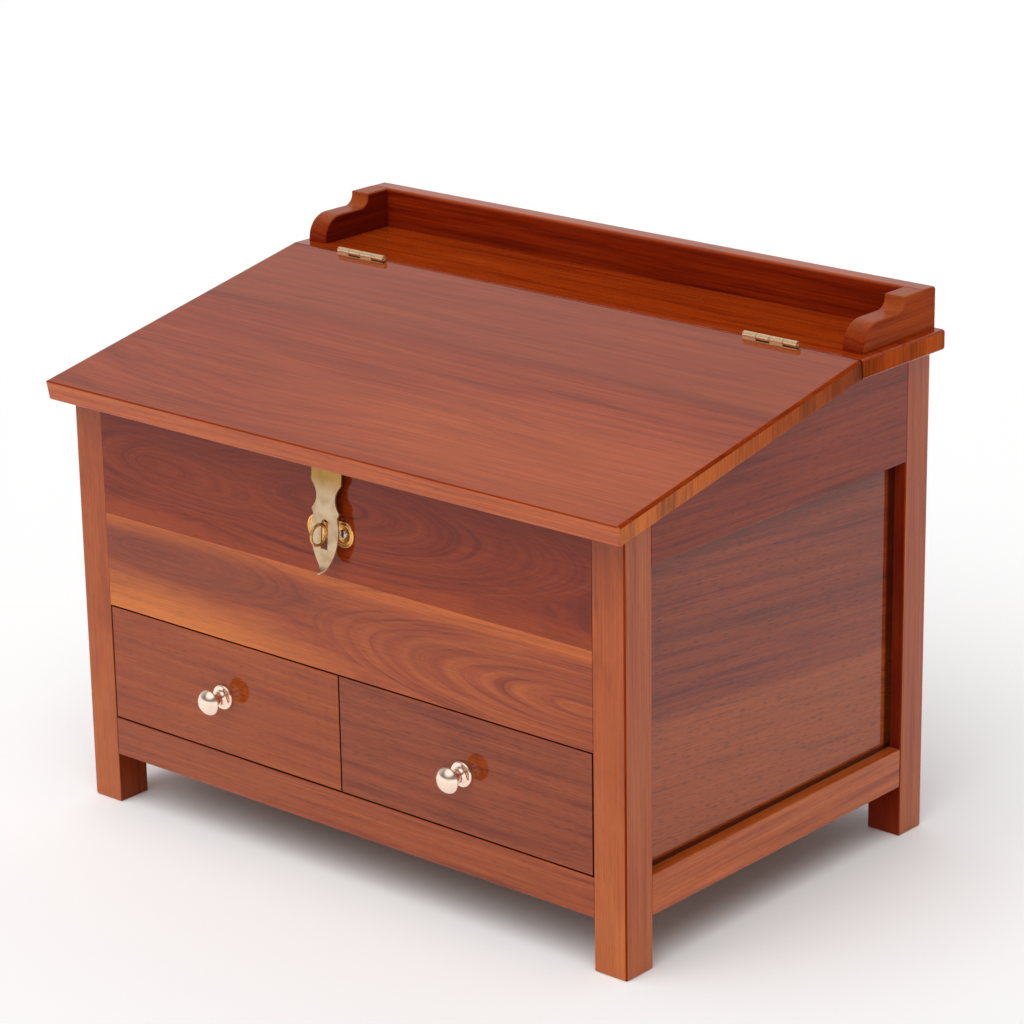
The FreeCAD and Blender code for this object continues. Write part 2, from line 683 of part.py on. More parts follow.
hasp_frame = {"y": "dims.hasp_y", "z": "dims.hasp_z", "turn": "dims.lid_slope"}
hasp_x = ("-dims.hasp_half", "dims.hasp_half")
hasp_middle_x = ("-dims.hasp_middle / 2", "dims.hasp_middle / 2")
hasp_leaf_y = ("-dims.hasp_barrel_radius", "dims.hasp_leaf_length")
hasp_web_y = ("-dims.strap_half_thick", "dims.strap_half_thick")
hasp_bore = "dims.hasp_pin_radius + dims.pin_clear"

hasp_screws = []
for side in ("-", ""):
    one = countersunk_screw("hasp_screw", "dims.hasp_screw_length")
    hasp_screws.append(place(one, f"{side}dims.hasp_screw_spread", "dims.hasp_screw_back"))
hasp_screws = keep("hasp_screws", place(group("hasp_screw_pair", hasp_screws), **hasp_frame))

hasp_leaf = board("hasp_plate", hasp_x, hasp_leaf_y, ("0", "dims.hasp_thick"),
                  added=((hasp_middle_x, hasp_web_y, ("-dims.hasp_drop", "0")),))
rod(hasp_leaf, "Additive", "dims.hasp_barrel_radius", "dims.hasp_middle", AXIS_Y, "90",
    x=hasp_middle_x[0], z="-dims.hasp_drop")
rod(hasp_leaf, "Subtractive", hasp_bore, "dims.hasp_middle", AXIS_Y, "90",
    x=hasp_middle_x[0], z="-dims.hasp_drop")
place(hasp_leaf, **hasp_frame)
keep("hasp_leaf", cut("hasp_leaf", hasp_leaf, [hasp_screws]))

hasp_pin = new_body("hasp_pin_body")
rod(hasp_pin, "Additive", "dims.hasp_pin_radius", "dims.hasp_width", AXIS_Y, "90", x=hasp_x[0],
    z="-dims.hasp_drop")
keep("hasp_pin", place(hasp_pin, **hasp_frame))

hasp_seat = place(board("hasp_seat", hasp_x, hasp_leaf_y, ("-dims.hasp_thick", "dims.hasp_thick")),
                  **hasp_frame)

# Lid board, made about the joint line like the hinges

lid = new_body("lid")
lid_front_y = "-dims.lid_length * cos(dims.half_slope)"
lid_front_z = "-dims.lid_length * sin(dims.half_slope)"
lid_outline = outline(lid, "YZ_Plane", (
    ("-dims.lid_joint_face", "-dims.lid_under_drop"),
    ("-dims.lid_joint_face", "-dims.lid_joint_drop"),
    (lid_front_y, lid_front_z),
    (f"{lid_front_y} + dims.lid_thick * sin(dims.half_slope)",
     f"{lid_front_z} - dims.lid_thick * cos(dims.half_slope)"),
))
pad(lid, lid_outline, "2 * dims.shelf_half", both_ways=True)
joint_face = value("-dims.lid_joint_face")
ease(lid, "Fillet", "dims.lid_round", lambda box: not same(box.YMin, joint_face))
place(lid, **hinge_frame)
keep("lid_board", cut("lid_board", lid, [*hinge_notches, screws_in["lid"], hasp_seat, hasp_screws]))

# Fixed shelf behind the lid, and the gallery on it

shelf = new_body("shelf")
shelf_back = "dims.back + dims.shelf_overhang"
shelf_outline = outline(shelf, "YZ_Plane", (
    ("dims.shelf_front + dims.lid_thick * tan(dims.half_slope)", "dims.shelf_under"),
    (shelf_back, "dims.shelf_under"),
    (shelf_back, "dims.shelf_top"),
    ("dims.shelf_front", "dims.shelf_top"),
))
pad(shelf, shelf_outline, "2 * dims.shelf_half", both_ways=True)
joint_end = value("dims.shelf_front + dims.lid_thick * tan(dims.half_slope)")
ease(shelf, "Fillet", "dims.lid_round", lambda box: box.YMax > joint_end + 1)
keep("top_shelf", cut("top_shelf", shelf, [screws_in["shelf"]]))

gallery_rail = board("gallery_rail", ("-dims.gallery_half", "dims.gallery_half"),
                     ("dims.gallery_front", "dims.back"), ("dims.shelf_top", "dims.gallery_top"))
rail_crest = value("dims.gallery_top")
ease(gallery_rail, "Fillet", "dims.gallery_round", lambda box: same(box.ZMin, rail_crest))
keep("gallery_back", gallery_rail)

ear = new_body("ear")
ear_step_y = "dims.ear_front + dims.ear_step"
ear_outline = outline(ear, "YZ_Plane", (
    ("dims.ear_front", "dims.shelf_top"),
    ("dims.gallery_front", "dims.shelf_top"),
    ("dims.gallery_front", "dims.gallery_top"),
    (ear_step_y, "dims.gallery_top"),
    (ear_step_y, "dims.ear_shoulder_top + dims.ear_cove", "dims.ear_cove", -1),
    (f"{ear_step_y} - dims.ear_cove", "dims.ear_shoulder_top"),
    ("dims.ear_front + dims.ear_nose", "dims.ear_shoulder_top", "dims.ear_nose", 1),
    ("dims.ear_front", "dims.ear_shoulder_top - dims.ear_nose"),
), offset="dims.gallery_half - dims.ear_thick")
pad(ear, ear_outline, "dims.ear_thick")
ear_base = value("dims.shelf_top")
ear_back = value("dims.gallery_front")
ease(ear, "Fillet", "dims.gallery_round",
     lambda box: same(box.XMin, box.XMax) and not same(box.ZMax, ear_base) and not same(box.YMin, ear_back))
keep_pair("gallery_ear", ear)

# Hasp strap: the outline of its face and the outline of its bent edge, one inside the other.
# It is made hanging straight down from its pin and then turned by its lean.

strap_tip_z = "-dims.strap_tip_down - dims.strap_tip_along"
strap_face = new_body("strap_face")
strap_face_outline = outline(strap_face, "XZ_Plane", (
    ("-dims.hasp_half", "0"),
    ("-dims.hasp_half", "-dims.strap_neck_start", "dims.strap_waist_radius", -1),
    ("-dims.strap_shoulder_half", "-dims.strap_shoulder"),
    ("-dims.strap_notch_half", "-dims.strap_notch", "dims.strap_lobe_radius", 1),
    ("-dims.strap_lobe_end_half", "-dims.strap_lobe_end"),
    ("-dims.strap_lip_half", "-dims.strap_length"),
    ("-dims.strap_tip_half", strap_tip_z),
    ("dims.strap_tip_half", strap_tip_z),
    ("dims.strap_lip_half", "-dims.strap_length"),
    ("dims.strap_lobe_end_half", "-dims.strap_lobe_end", "dims.strap_lobe_radius", 1),
    ("dims.strap_notch_half", "-dims.strap_notch"),
    ("dims.strap_shoulder_half", "-dims.strap_shoulder", "dims.strap_waist_radius", -1),
    ("dims.hasp_half", "-dims.strap_neck_start"),
    ("dims.hasp_half", "0"),
))
pad(strap_face, strap_face_outline, "4 * (dims.strap_lip + dims.hasp_thick)", both_ways=True)

strap_edge = new_body("strap_edge")
strap_edge_outline = outline(strap_edge, "YZ_Plane", (
    ("dims.strap_half_thick", "0"),
    ("-dims.strap_half_thick", "0"),
    ("-dims.strap_half_thick", "-dims.strap_length + dims.strap_corner"),
    ("-dims.strap_tip_out - dims.strap_tip_across", "-dims.strap_tip_down + dims.strap_tip_along"),
    ("-dims.strap_tip_out + dims.strap_tip_across", "-dims.strap_tip_down - dims.strap_tip_along"),
    ("dims.strap_half_thick", "-dims.strap_length - dims.strap_corner"),
))
pad(strap_edge, strap_edge_outline, "dims.hasp_width", both_ways=True)

strap_plate = doc.addObject("Part::Common", "strap_plate")
strap_plate.Base = strap_face
strap_plate.Tool = strap_edge

strap_barrel = new_body("strap_barrel")
rod(strap_barrel, "Additive", "dims.hasp_barrel_radius", "dims.hasp_width", AXIS_Y, "90", x=hasp_x[0])
strap_whole = doc.addObject("Part::Fuse", "strap_whole")
strap_whole.Base = strap_plate
strap_whole.Tool = strap_barrel

strap_room = "(dims.hasp_middle / 2 + dims.knuckle_gap)"
strap_notch = board("strap_notch", (f"-{strap_room}", strap_room), ("-dims.hasp_drop", "dims.hasp_drop"),
                    ("-dims.hasp_drop", "dims.hasp_drop"))
strap_bore = new_body("strap_bore")
rod(strap_bore, "Additive", hasp_bore, "dims.hasp_width", AXIS_Y, "90", x=hasp_x[0])
slot_half = "dims.slot_width / 2"
slot_y = ("-dims.hasp_thick", "dims.hasp_thick")
slot_arch = f"-dims.slot_top - {slot_half}"
strap_slot = board("strap_slot", (f"-{slot_half}", slot_half), slot_y,
                   ("-dims.slot_top - dims.slot_height", slot_arch))
rod(strap_slot, "Additive", slot_half, "2 * dims.hasp_thick", AXIS_X, "90", y="dims.hasp_thick", z=slot_arch)
strap = cut("hasp_strap", strap_whole, [strap_notch, strap_bore, strap_slot])
keep("hasp_strap", place(strap, y="dims.hasp_axis_y", z="dims.hasp_axis_z", turn="-dims.strap_lean"))

# Staple: a waisted plate with two round-headed screws, and a ring whose shank goes into the board

staple_ring_bow = doc.addObject("Part::Torus", "staple_bow")
staple_ring_bow.setExpression("Radius1", "dims.ring_radius")
staple_ring_bow.setExpression("Radius2", "dims.ring_wire_radius")
place(staple_ring_bow, "dims.staple_offset", "dims.ring_y", "dims.staple_height", "90", AXIS_Y)
staple_shank = new_body("staple_shank")
rod(staple_shank, "Additive", "dims.shank_radius", "dims.ring_stand_off - dims.ring_radius + dims.shank_depth",
    AXIS_X, "-90", "dims.staple_offset", "dims.ring_y + dims.ring_radius", "dims.staple_height")
staple_ring = doc.addObject("Part::Fuse", "staple_ring_whole")
staple_ring.Base = staple_ring_bow
staple_ring.Tool = staple_shank
keep("staple_ring", staple_ring)

staple_screws = []
for side in "-+":
    one = screw("staple_screw", "dims.wood_screw_radius", "dims.round_head_screw_length",
                "dims.round_head_top_radius", "dims.round_head_radius", "dims.round_head_height",
                "-dims.round_head_height")
    staple_screws.append(place(one, f"dims.staple_offset {side} dims.staple_lobe_spread",
                               "dims.front - dims.staple_plate_thick", "dims.staple_height", "-90"))
staple_screws = keep("staple_screws", group("staple_screw_pair", staple_screws))

staple_plate = board("staple_bar", ("dims.staple_offset - dims.staple_lobe_spread",
                                    "dims.staple_offset + dims.staple_lobe_spread"),
                     ("dims.front - dims.staple_plate_thick", "dims.front"),
                     ("dims.staple_height - dims.staple_plate_waist / 2",
                      "dims.staple_height + dims.staple_plate_waist / 2"))
for side in "-+":
    rod(staple_plate, "Additive", "dims.staple_lobe_radius", "dims.staple_plate_thick", AXIS_X, "90",
        f"dims.staple_offset {side} dims.staple_lobe_spread", "dims.front", "dims.staple_height")
keep("staple_plate", cut("staple_plate", staple_plate, [staple_shank, staple_screws]))
# Each front board is bored where the staple comes, which follows the height of the lid
for name, front_board in (("front_board_upper", upper_board), ("front_board_lower", lower_board)):
    keep(name, cut(name, front_board, [staple_shank, staple_screws]))

# Drawers, made about the middle of the front's lower edge, with the runner's top at height 0

drawer_front_y = ("0", "dims.board_thick")
drawer_bottom_z = ("dims.drawer_bottom_lift", "dims.drawer_bottom_top")
drawer_side_y = ("dims.board_thick - dims.drawer_lap", "dims.drawer_length")
drawer_side = (("dims.drawer_side_in", "dims.drawer_side_out"), drawer_side_y,
               ("dims.slide_clear", "dims.drawer_side_height"))
drawer_bottom = (("-dims.drawer_bottom_half", "dims.drawer_bottom_half"),
                 ("dims.board_thick - dims.drawer_groove", "dims.drawer_length"), drawer_bottom_z)
drawer_back = (("-dims.drawer_side_in", "dims.drawer_side_in"),
               ("dims.drawer_length - dims.drawer_side_thick", "dims.drawer_length"),
               ("dims.drawer_bottom_top", "dims.drawer_side_height"))


def drawer_front(name):
    """Inset front, rebated for the sides, grooved for the bottom and bored for the knob's screw."""
    body = board(name, ("-dims.drawer_half", "dims.drawer_half"), drawer_front_y,
                 ("dims.drawer_gap", "dims.drawer_height - dims.drawer_gap"),
                 cuts=(*both_ends(drawer_side), drawer_bottom))
    rod(body, "Subtractive", "dims.knob_screw_radius + dims.knob_screw_clear", "dims.board_thick",
        AXIS_X, "-90", z="dims.knob_height")
    return ease(body, "Fillet", "dims.drawer_round",
                lambda box: same(box.YMax, 0) and box.XLength + box.ZLength > value("dims.board_thick"))


def knob(name):
    """Turned knob: dished base, neck and flattened round head, with a blind bore for its screw."""
    body = new_body(name)
    neck, head = "dims.knob_neck_radius", "dims.knob_head_radius"
    turned = outline(body, "XZ_Plane", (
        ("0", "0"),
        ("dims.knob_base_radius", "0"),
        ("dims.knob_base_radius", "dims.knob_base_rim", "dims.knob_base_lip", 1),
        (f"{neck} + dims.knob_cove", "dims.knob_lip_top", "dims.knob_cove", -1),
        (neck, "dims.knob_lip_top + dims.knob_cove"),
        (neck, "dims.knob_head_low", "dims.knob_flare", -1),
        (f"{neck} + dims.knob_flare", "dims.knob_brim_low", "dims.knob_brim", 1),
        (head, "dims.knob_widest", "dims.knob_crown_radius", 1),
        ("0", "dims.knob_reach"),
    ))
    solid = body.newObject("PartDesign::Revolution", f"{name}_turned")
    solid.Profile = turned
    solid.ReferenceAxis = (turned, ["V_Axis"])
    solid.Angle = 360
    rod(body, "Subtractive", "dims.knob_screw_radius + dims.pin_clear", "dims.knob_bore_depth", AXIS_X, "0")
    return body


for side, sign in (("left", "-"), ("right", "")):
    drawer_frame = {"x": f"{sign}dims.drawer_x", "y": "dims.front", "z": "dims.rail_top"}
    knob_frame = {**drawer_frame, "z": "dims.rail_top + dims.knob_height", "turn": "90"}
    name = f"drawer_{side}"
    knob_screw = screw(f"{name}_bolt", "dims.knob_screw_radius", "dims.knob_screw_length",
                       "dims.knob_screw_head_radius", "dims.knob_screw_head_radius",
                       "dims.knob_screw_head_height", "-dims.knob_screw_head_height")
    keep(f"{name}_front", place(drawer_front(f"{name}_face"), **drawer_frame))
    for hand, bounds in zip(("right", "left"), both_ends(drawer_side)):
        wall = board(f"{name}_wall_{hand}", *bounds, cuts=(drawer_bottom,))
        keep(f"{name}_side_{hand}", place(wall, **drawer_frame))
    keep(f"{name}_back", place(board(f"{name}_end", *drawer_back), **drawer_frame))
    keep(f"{name}_bottom", place(board(f"{name}_base", *drawer_bottom), **drawer_frame))
    keep(f"{name}_knob", place(knob(f"{name}_pull"), **knob_frame))
    keep(f"{name}_knob_screw", place(knob_screw, **{**knob_frame, "y": "dims.front + dims.board_thick"}))

doc.recompute()

for thing in doc.Objects:
    if {"Invalid", "Error"} & set(thing.State):
        raise RuntimeError(f"{thing.Label} failed: {thing.State}")
for name, piece in pieces.items():
    if piece.Shape.isNull() or not piece.Shape.isValid() or not piece.Shape.Solids:
        raise RuntimeError(f"{name} has no sound solid")

os.makedirs("parts", exist_ok=True)
for name, piece in pieces.items():
    piece.Shape.exportStep(f"parts/{name}.step")
print(f"{len(pieces)} pieces written")
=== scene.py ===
import math
import bmesh
import bpy
from mathutils import Matrix, Vector


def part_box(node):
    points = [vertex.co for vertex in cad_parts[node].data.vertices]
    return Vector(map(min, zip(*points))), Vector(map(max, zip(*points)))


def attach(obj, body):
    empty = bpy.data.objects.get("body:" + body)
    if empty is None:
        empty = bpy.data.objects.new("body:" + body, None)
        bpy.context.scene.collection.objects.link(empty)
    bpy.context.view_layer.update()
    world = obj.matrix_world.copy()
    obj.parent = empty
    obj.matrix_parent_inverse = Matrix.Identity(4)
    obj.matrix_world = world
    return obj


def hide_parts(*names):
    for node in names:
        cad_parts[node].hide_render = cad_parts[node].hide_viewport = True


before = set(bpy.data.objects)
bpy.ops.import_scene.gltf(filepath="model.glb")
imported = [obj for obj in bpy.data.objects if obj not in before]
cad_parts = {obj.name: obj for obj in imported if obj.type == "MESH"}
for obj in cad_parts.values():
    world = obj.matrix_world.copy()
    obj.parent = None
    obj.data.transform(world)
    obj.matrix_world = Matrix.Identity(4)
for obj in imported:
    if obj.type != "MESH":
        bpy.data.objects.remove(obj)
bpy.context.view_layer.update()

# Dressed model of the slant-top desk: each visible board with eased edges and varnished teak, each brass
# fitting with its turned, stamped or bent form. Lengths are in millimetres until a mesh is finished.

MM = 0.001
QUARTER_TURN = math.radians(90)
# Two places closer than this are the same, and a direction is along an axis from this share on
SAME = 0.1
ALONG = 0.9

FRONT = -173.5
BACK = FRONT + 368
HALF_WIDTH = 280.0
POST = 30.0
RAIL = 22.0
BOARD = 18.0
LOW_RAIL = (42.0, 74.0)
SLOPE = math.radians(11.1)
HALF_SLOPE = SLOPE / 2
LID_THICK = 16.3
LID_NOSE = 20.0
SHELF_TOP = 409.0
SHELF_UNDER = SHELF_TOP - LID_THICK
SHELF_HALF = 291.5
SHELF_BACK = FRONT + 371
HINGE_LINE = FRONT + 262
SEAT_GAP = 0.3
POST_INNER = HALF_WIDTH - POST
SIDES = (("left", -1), ("right", 1))


# Finishes

def linear(text):
    """Linear colour with full alpha from an sRGB hex text."""
    parts = [int(text[index:index + 2], 16) / 255 for index in (1, 3, 5)]
    parts = [part / 12.92 if part <= 0.04045 else ((part + 0.055) / 1.055) ** 2.4 for part in parts]
    return (*parts, 1.0)


def add(tree, kind, feeds=None, stops=None, **settings):
    """Add a node with its settings, its inputs' values or links, and the stops of a colour ramp."""
    node = tree.nodes.new(f"ShaderNode{kind}")
    for key, setting in settings.items():
        setattr(node, key, setting)
    for key, feed in (feeds or {}).items():
        if isinstance(feed, bpy.types.NodeSocket):
            tree.links.new(feed, node.inputs[key])
        else:
            node.inputs[key].default_value = feed
    if stops:
        while len(node.color_ramp.elements) < len(stops):
            node.color_ramp.elements.new(0.5)
        for element, (position, text) in zip(node.color_ramp.elements, stops):
            element.position = position
            element.color = linear(text)
    return node


def new_finish(name, settings):
    """New material with its node tree and its surface shader, which takes the settings."""
    material = bpy.data.materials.new(name)
    material.use_nodes = True
    tree = material.node_tree
    surface = tree.nodes["Principled BSDF"]
    for key, setting in settings.items():
        surface.inputs[key].default_value = setting
    return material, tree, surface


# Wood is dull by itself, and all its shine comes from the varnish
WOOD = {"Roughness": 0.6, "Specular IOR Level": 0.0, "Coat IOR": 1.45}
STREAK_TONE = "#3b1009"
PORE_TONE = "#2a0a04"
# Tone of the painted shade where a board meets a frame
PAINTED_SHADE_TONE = "#2c0602"
# Widths of the clouds, of the sway of bands and of the varnish's waves, and lengths and widths of what is
# drawn out along the grain; the fibres are coarser than real ones so that they show
CLOUD_WIDTH = 55
SWAY_WIDTH = 28
WAVE_WIDTH = 14
RING_LENGTH = 200
FIBRE_LENGTH = 110
FIBRE_WIDTH = 1.4
PORE_LENGTH = 9
PORE_WIDTH = 0.7
# Turns that lay the grain of a board along the X of its pattern, and the axis about which it may lean
GRAIN_TURNS = {
    "X": ((0, 0, 0), (0, 1, 0)),
    "Y": ((0, 0, -QUARTER_TURN), (1, 0, 0)),
    "Z": ((0, QUARTER_TURN, 0), (0, 0, 1)),
}


def oval(tree, along, swirls, middle, axis, centre, length, height):
    """Share of an uneven oval on a board, highest in its middle and 0 at its rim. It is given by its middle
    along the grain, its centre on an axis across the grain, and its half-sizes along and across."""
    sizes = {"X": length * MM, axis: height * MM}
    places = {"X": middle * MM, axis: centre * MM}
    apart = add(tree, "Mapping", {
        "Vector": along,
        "Location": [-places[each] / sizes[each] if each in sizes else 0 for each in "XYZ"],
        "Scale": [1 / sizes[each] if each in sizes else 0 for each in "XYZ"],
    }).outputs["Vector"]
    distance = add(tree, "VectorMath", {0: apart}, operation="LENGTH").outputs["Value"]
    uneven = add(tree, "Math", {0: swirls, 1: 1.4, 2: distance}, operation="MULTIPLY_ADD").outputs[0]
    return add(tree, "MapRange", {"Value": uneven, "From Min": 1.7, "From Max": 0.5}).outputs["Result"]


def teak(name, grain, tones, seed, depth="Z", ring=6.0, swirl=90.0, warp=25.0, spread=0.21, cloud=0.35,
         streak=0.25, pore=0.25, lean=0.0, bands=(), nests=(), patches=(), painted_shades=(), coat=1.0,
         upright=None, gloss=0.05):
    """Planed teak, under brushed gloss varnish where it has a coat: uneven growth rings, clouds of darker
    heartwood, dark mineral streaks, fibres and open pores, drawn out along the grain; the coat mirrors the
    room. The rings follow one another along the depth axis of the pattern, and swirls of a given width
    warp them. Nests are ovals where the rings rise and show as loops, patches are ovals of another tone,
    bands of another tone run along the whole board, and painted shades darken it towards a place where
    shade falls. The coat is thinner on upright faces where a weight is given for them."""
    material, tree, surface = new_finish(name, {**WOOD, "Coat Weight": coat, "Coat Roughness": gloss})
    dark, middle, light = tones
    place = add(tree, "TexCoord").outputs["Object"]
    turn, lean_axis = GRAIN_TURNS[grain]
    rotation = Vector(turn) + math.radians(lean) * Vector(lean_axis)
    along = add(tree, "Mapping", {"Vector": place, "Rotation": rotation}).outputs["Vector"]
    parts = add(tree, "SeparateXYZ", {"Vector": along}).outputs
    log = add(tree, "Mapping", {
        "Vector": along, "Location": (seed, seed * 0.37, seed * 0.61), "Scale": (0.13, 1, 1),
    }).outputs["Vector"]

    swirls = add(tree, "TexNoise", {
        "Vector": log, "Scale": 1 / (swirl * MM), "Detail": 2.5, "Roughness": 0.45,
    }).outputs["Fac"]
    warped = add(tree, "Math", {
        0: swirls, 1: warp * MM, 2: parts[depth],
    }, operation="MULTIPLY_ADD").outputs[0]
    for *spot, rise in nests:
        swell = oval(tree, along, swirls, *spot)
        warped = add(tree, "Math", {0: swell, 1: rise * MM, 2: warped}, operation="MULTIPLY_ADD").outputs[0]
    # Each ring fades in and out along the grain
    count = add(tree, "Math", {0: warped, 1: ring * MM}, operation="DIVIDE").outputs[0]
    fading = add(tree, "Math", {0: parts["X"], 1: RING_LENGTH * MM}, operation="DIVIDE").outputs[0]
    ring_place = add(tree, "CombineXYZ", {"X": count, "Y": fading}).outputs["Vector"]
    rings = add(tree, "TexNoise", {
        "Vector": ring_place, "Scale": 1.0, "Detail": 5.0, "Roughness": 0.7,
    }, noise_dimensions="2D").outputs["Fac"]
    colour = add(tree, "ValToRGB", {"Fac": rings}, stops=(
        (0.5 - spread, dark), (0.5 - 0.2 * spread, middle), (0.5 + spread, light),
    )).outputs["Color"]

    clouds = add(tree, "TexNoise", {
        "Vector": log, "Scale": 1 / (CLOUD_WIDTH * MM), "Detail": 4.0, "Roughness": 0.6, "Distortion": 0.4,
    }).outputs["Fac"]
    cloudy = add(tree, "MapRange", {
        "Value": clouds, "From Min": 0.42, "From Max": 0.68, "To Max": cloud,
    }).outputs["Result"]
    colour = add(tree, "Mix", {0: cloudy, 6: colour, 7: linear(dark)}, data_type="RGBA").outputs[2]

    sway = add(tree, "TexNoise", {
        "Vector": log, "Scale": 1 / (SWAY_WIDTH * MM), "Detail": 3.0,
    }).outputs["Fac"]
    for axis, centre, half, soft, waver, tone, strength in bands:
        across = add(tree, "Math", {0: sway, 1: 2 * waver * MM, 2: parts[axis]}, operation="MULTIPLY_ADD")
        apart = add(tree, "Math", {0: across.outputs[0], 1: (centre + waver) * MM}, operation="SUBTRACT")
        distance = add(tree, "Math", {0: apart.outputs[0]}, operation="ABSOLUTE").outputs[0]
        inside = add(tree, "MapRange", {
            "Value": distance, "From Min": (half + soft) * MM, "From Max": (half - soft) * MM,
            "To Max": strength,
        }, interpolation_type="SMOOTHSTEP").outputs["Result"]
        colour = add(tree, "Mix", {0: inside, 6: colour, 7: linear(tone)}, data_type="RGBA").outputs[2]

    for *spot, tone, strength in patches:
        share = add(tree, "MapRange", {
            "Value": oval(tree, along, swirls, *spot), "From Min": 0.1, "From Max": 0.5, "To Max": strength,
        }).outputs["Result"]
        colour = add(tree, "Mix", {0: share, 6: colour, 7: linear(tone)}, data_type="RGBA").outputs[2]

    # Mineral streaks follow the rings and are about half as wide
    streaks = add(tree, "TexNoise", {
        "Vector": ring_place, "Scale": 1.7, "Detail": 2.0,
    }, noise_dimensions="2D").outputs["Fac"]
    streaky = add(tree, "MapRange", {
        "Value": streaks, "From Min": 0.58, "From Max": 0.76, "To Max": streak,
    }).outputs["Result"]
    colour = add(tree, "Mix", {0: streaky, 6: colour, 7: linear(STREAK_TONE)}, data_type="RGBA").outputs[2]

    fibre_place = add(tree, "Mapping", {
        "Vector": along, "Location": (seed, 0, 0),
        "Scale": [1 / (size * MM) for size in (FIBRE_LENGTH, FIBRE_WIDTH, FIBRE_WIDTH)],
    }).outputs["Vector"]
    fibres = add(tree, "TexNoise", {"Vector": fibre_place, "Scale": 1.0, "Detail": 4.0}).outputs["Fac"]
    shade = add(tree, "MapRange", {
        "Value": fibres, "From Min": 0.3, "From Max": 0.7, "To Min": 0.84, "To Max": 1.16,
    }).outputs["Result"]
    grey = add(tree, "CombineColor", {0: shade, 1: shade, 2: shade}).outputs["Color"]
    colour = add(tree, "Mix", {
        0: 1.0, 6: colour, 7: grey,
    }, data_type="RGBA", blend_type="MULTIPLY").outputs[2]

    pore_place = add(tree, "Mapping", {
        "Vector": along, "Location": (0, seed, 0),
        "Scale": [1 / (size * MM) for size in (PORE_LENGTH, PORE_WIDTH, PORE_WIDTH)],
    }).outputs["Vector"]
    pores = add(tree, "TexNoise", {"Vector": pore_place, "Scale": 1.0, "Detail": 0.0}).outputs["Fac"]
    porous = add(tree, "MapRange", {
        "Value": pores, "From Min": 0.6, "From Max": 0.74, "To Max": pore,
    }).outputs["Result"]
    colour = add(tree, "Mix", {0: porous, 6: colour, 7: linear(PORE_TONE)}, data_type="RGBA").outputs[2]

    # Painted shade darkens a board towards where it meets a frame and lies in its shade
    board_parts = add(tree, "SeparateXYZ", {"Vector": place}).outputs
    for axis, full, clear, strength in painted_shades:
        share = add(tree, "MapRange", {
            "Value": board_parts[axis], "From Min": clear * MM, "From Max": full * MM, "To Max": strength,
        }, interpolation_type="SMOOTHSTEP").outputs["Result"]
        colour = add(tree, "Mix", {0: share, 6: colour, 7: linear(PAINTED_SHADE_TONE)}, data_type="RGBA").outputs[2]
    tree.links.new(colour, surface.inputs["Base Color"])

    # The brushed coat lies in shallow waves
    waves = add(tree, "TexNoise", {
        "Vector": along, "Scale": 1 / (WAVE_WIDTH * MM), "Detail": 2.0,
    }).outputs["Fac"]
    bump = add(tree, "Bump", {"Height": waves, "Strength": 0.06, "Distance": 0.001}).outputs["Normal"]
    tree.links.new(bump, surface.inputs["Coat Normal"])
    if upright is not None:
        facing = add(tree, "SeparateXYZ", {"Vector": add(tree, "TexCoord").outputs["Normal"]}).outputs["Z"]
        weight = add(tree, "MapRange", {
            "Value": facing, "From Min": 0.6, "From Max": 0.95, "To Min": upright, "To Max": coat,
        }).outputs["Result"]
        tree.links.new(weight, surface.inputs["Coat Weight"])
    return material


# Ring lines on a sawn end: how far they reach along the board, how far apart they lie, how deep they run
END_LINES = (50, 2.5, 30)


def teak_end_grain(name, tones, seed, golden, brown, coats):
    """Sawn end of a teak board under thin varnish: uneven lines through the thickness, golden at one place
    of the depth and browner towards the other, with the coat's weight at both."""
    material, tree, surface = new_finish(name, {**WOOD, "Coat Roughness": 0.15})
    dark, middle, light = tones
    place = add(tree, "TexCoord").outputs["Object"]
    depth = add(tree, "SeparateXYZ", {"Vector": place}).outputs["Y"]
    share = add(tree, "MapRange", {
        "Value": depth, "From Min": golden * MM, "From Max": brown * MM,
    }).outputs["Result"]
    colour = add(tree, "ValToRGB", {"Fac": share}, stops=(
        (0.0, light), (0.5, middle), (1.0, dark),
    )).outputs["Color"]
    lines_place = add(tree, "Mapping", {
        "Vector": place, "Location": (seed, seed, 0), "Rotation": (math.radians(12), 0, 0),
        "Scale": [1 / (size * MM) for size in END_LINES],
    }).outputs["Vector"]
    lines = add(tree, "TexNoise", {"Vector": lines_place, "Scale": 1.0, "Detail": 3.0}).outputs["Fac"]
    broad = add(tree, "TexNoise", {"Vector": lines_place, "Scale": 0.09, "Detail": 2.0}).outputs["Fac"]
    mixed = add(tree, "Math", {0: lines, 1: broad}, operation="ADD").outputs[0]
    shade = add(tree, "MapRange", {
        "Value": mixed, "From Min": 0.7, "From Max": 1.25, "To Min": 0.55, "To Max": 1.25,
    }).outputs["Result"]
    grey = add(tree, "CombineColor", {0: shade, 1: shade, 2: shade}).outputs["Color"]
    colour = add(tree, "Mix", {
        0: 1.0, 6: colour, 7: grey,
    }, data_type="RGBA", blend_type="MULTIPLY").outputs[2]
    tree.links.new(colour, surface.inputs["Base Color"])
    weight = add(tree, "MapRange", {"Value": share, "To Min": coats[0], "To Max": coats[1]})
    tree.links.new(weight.outputs["Result"], surface.inputs["Coat Weight"])
    return material


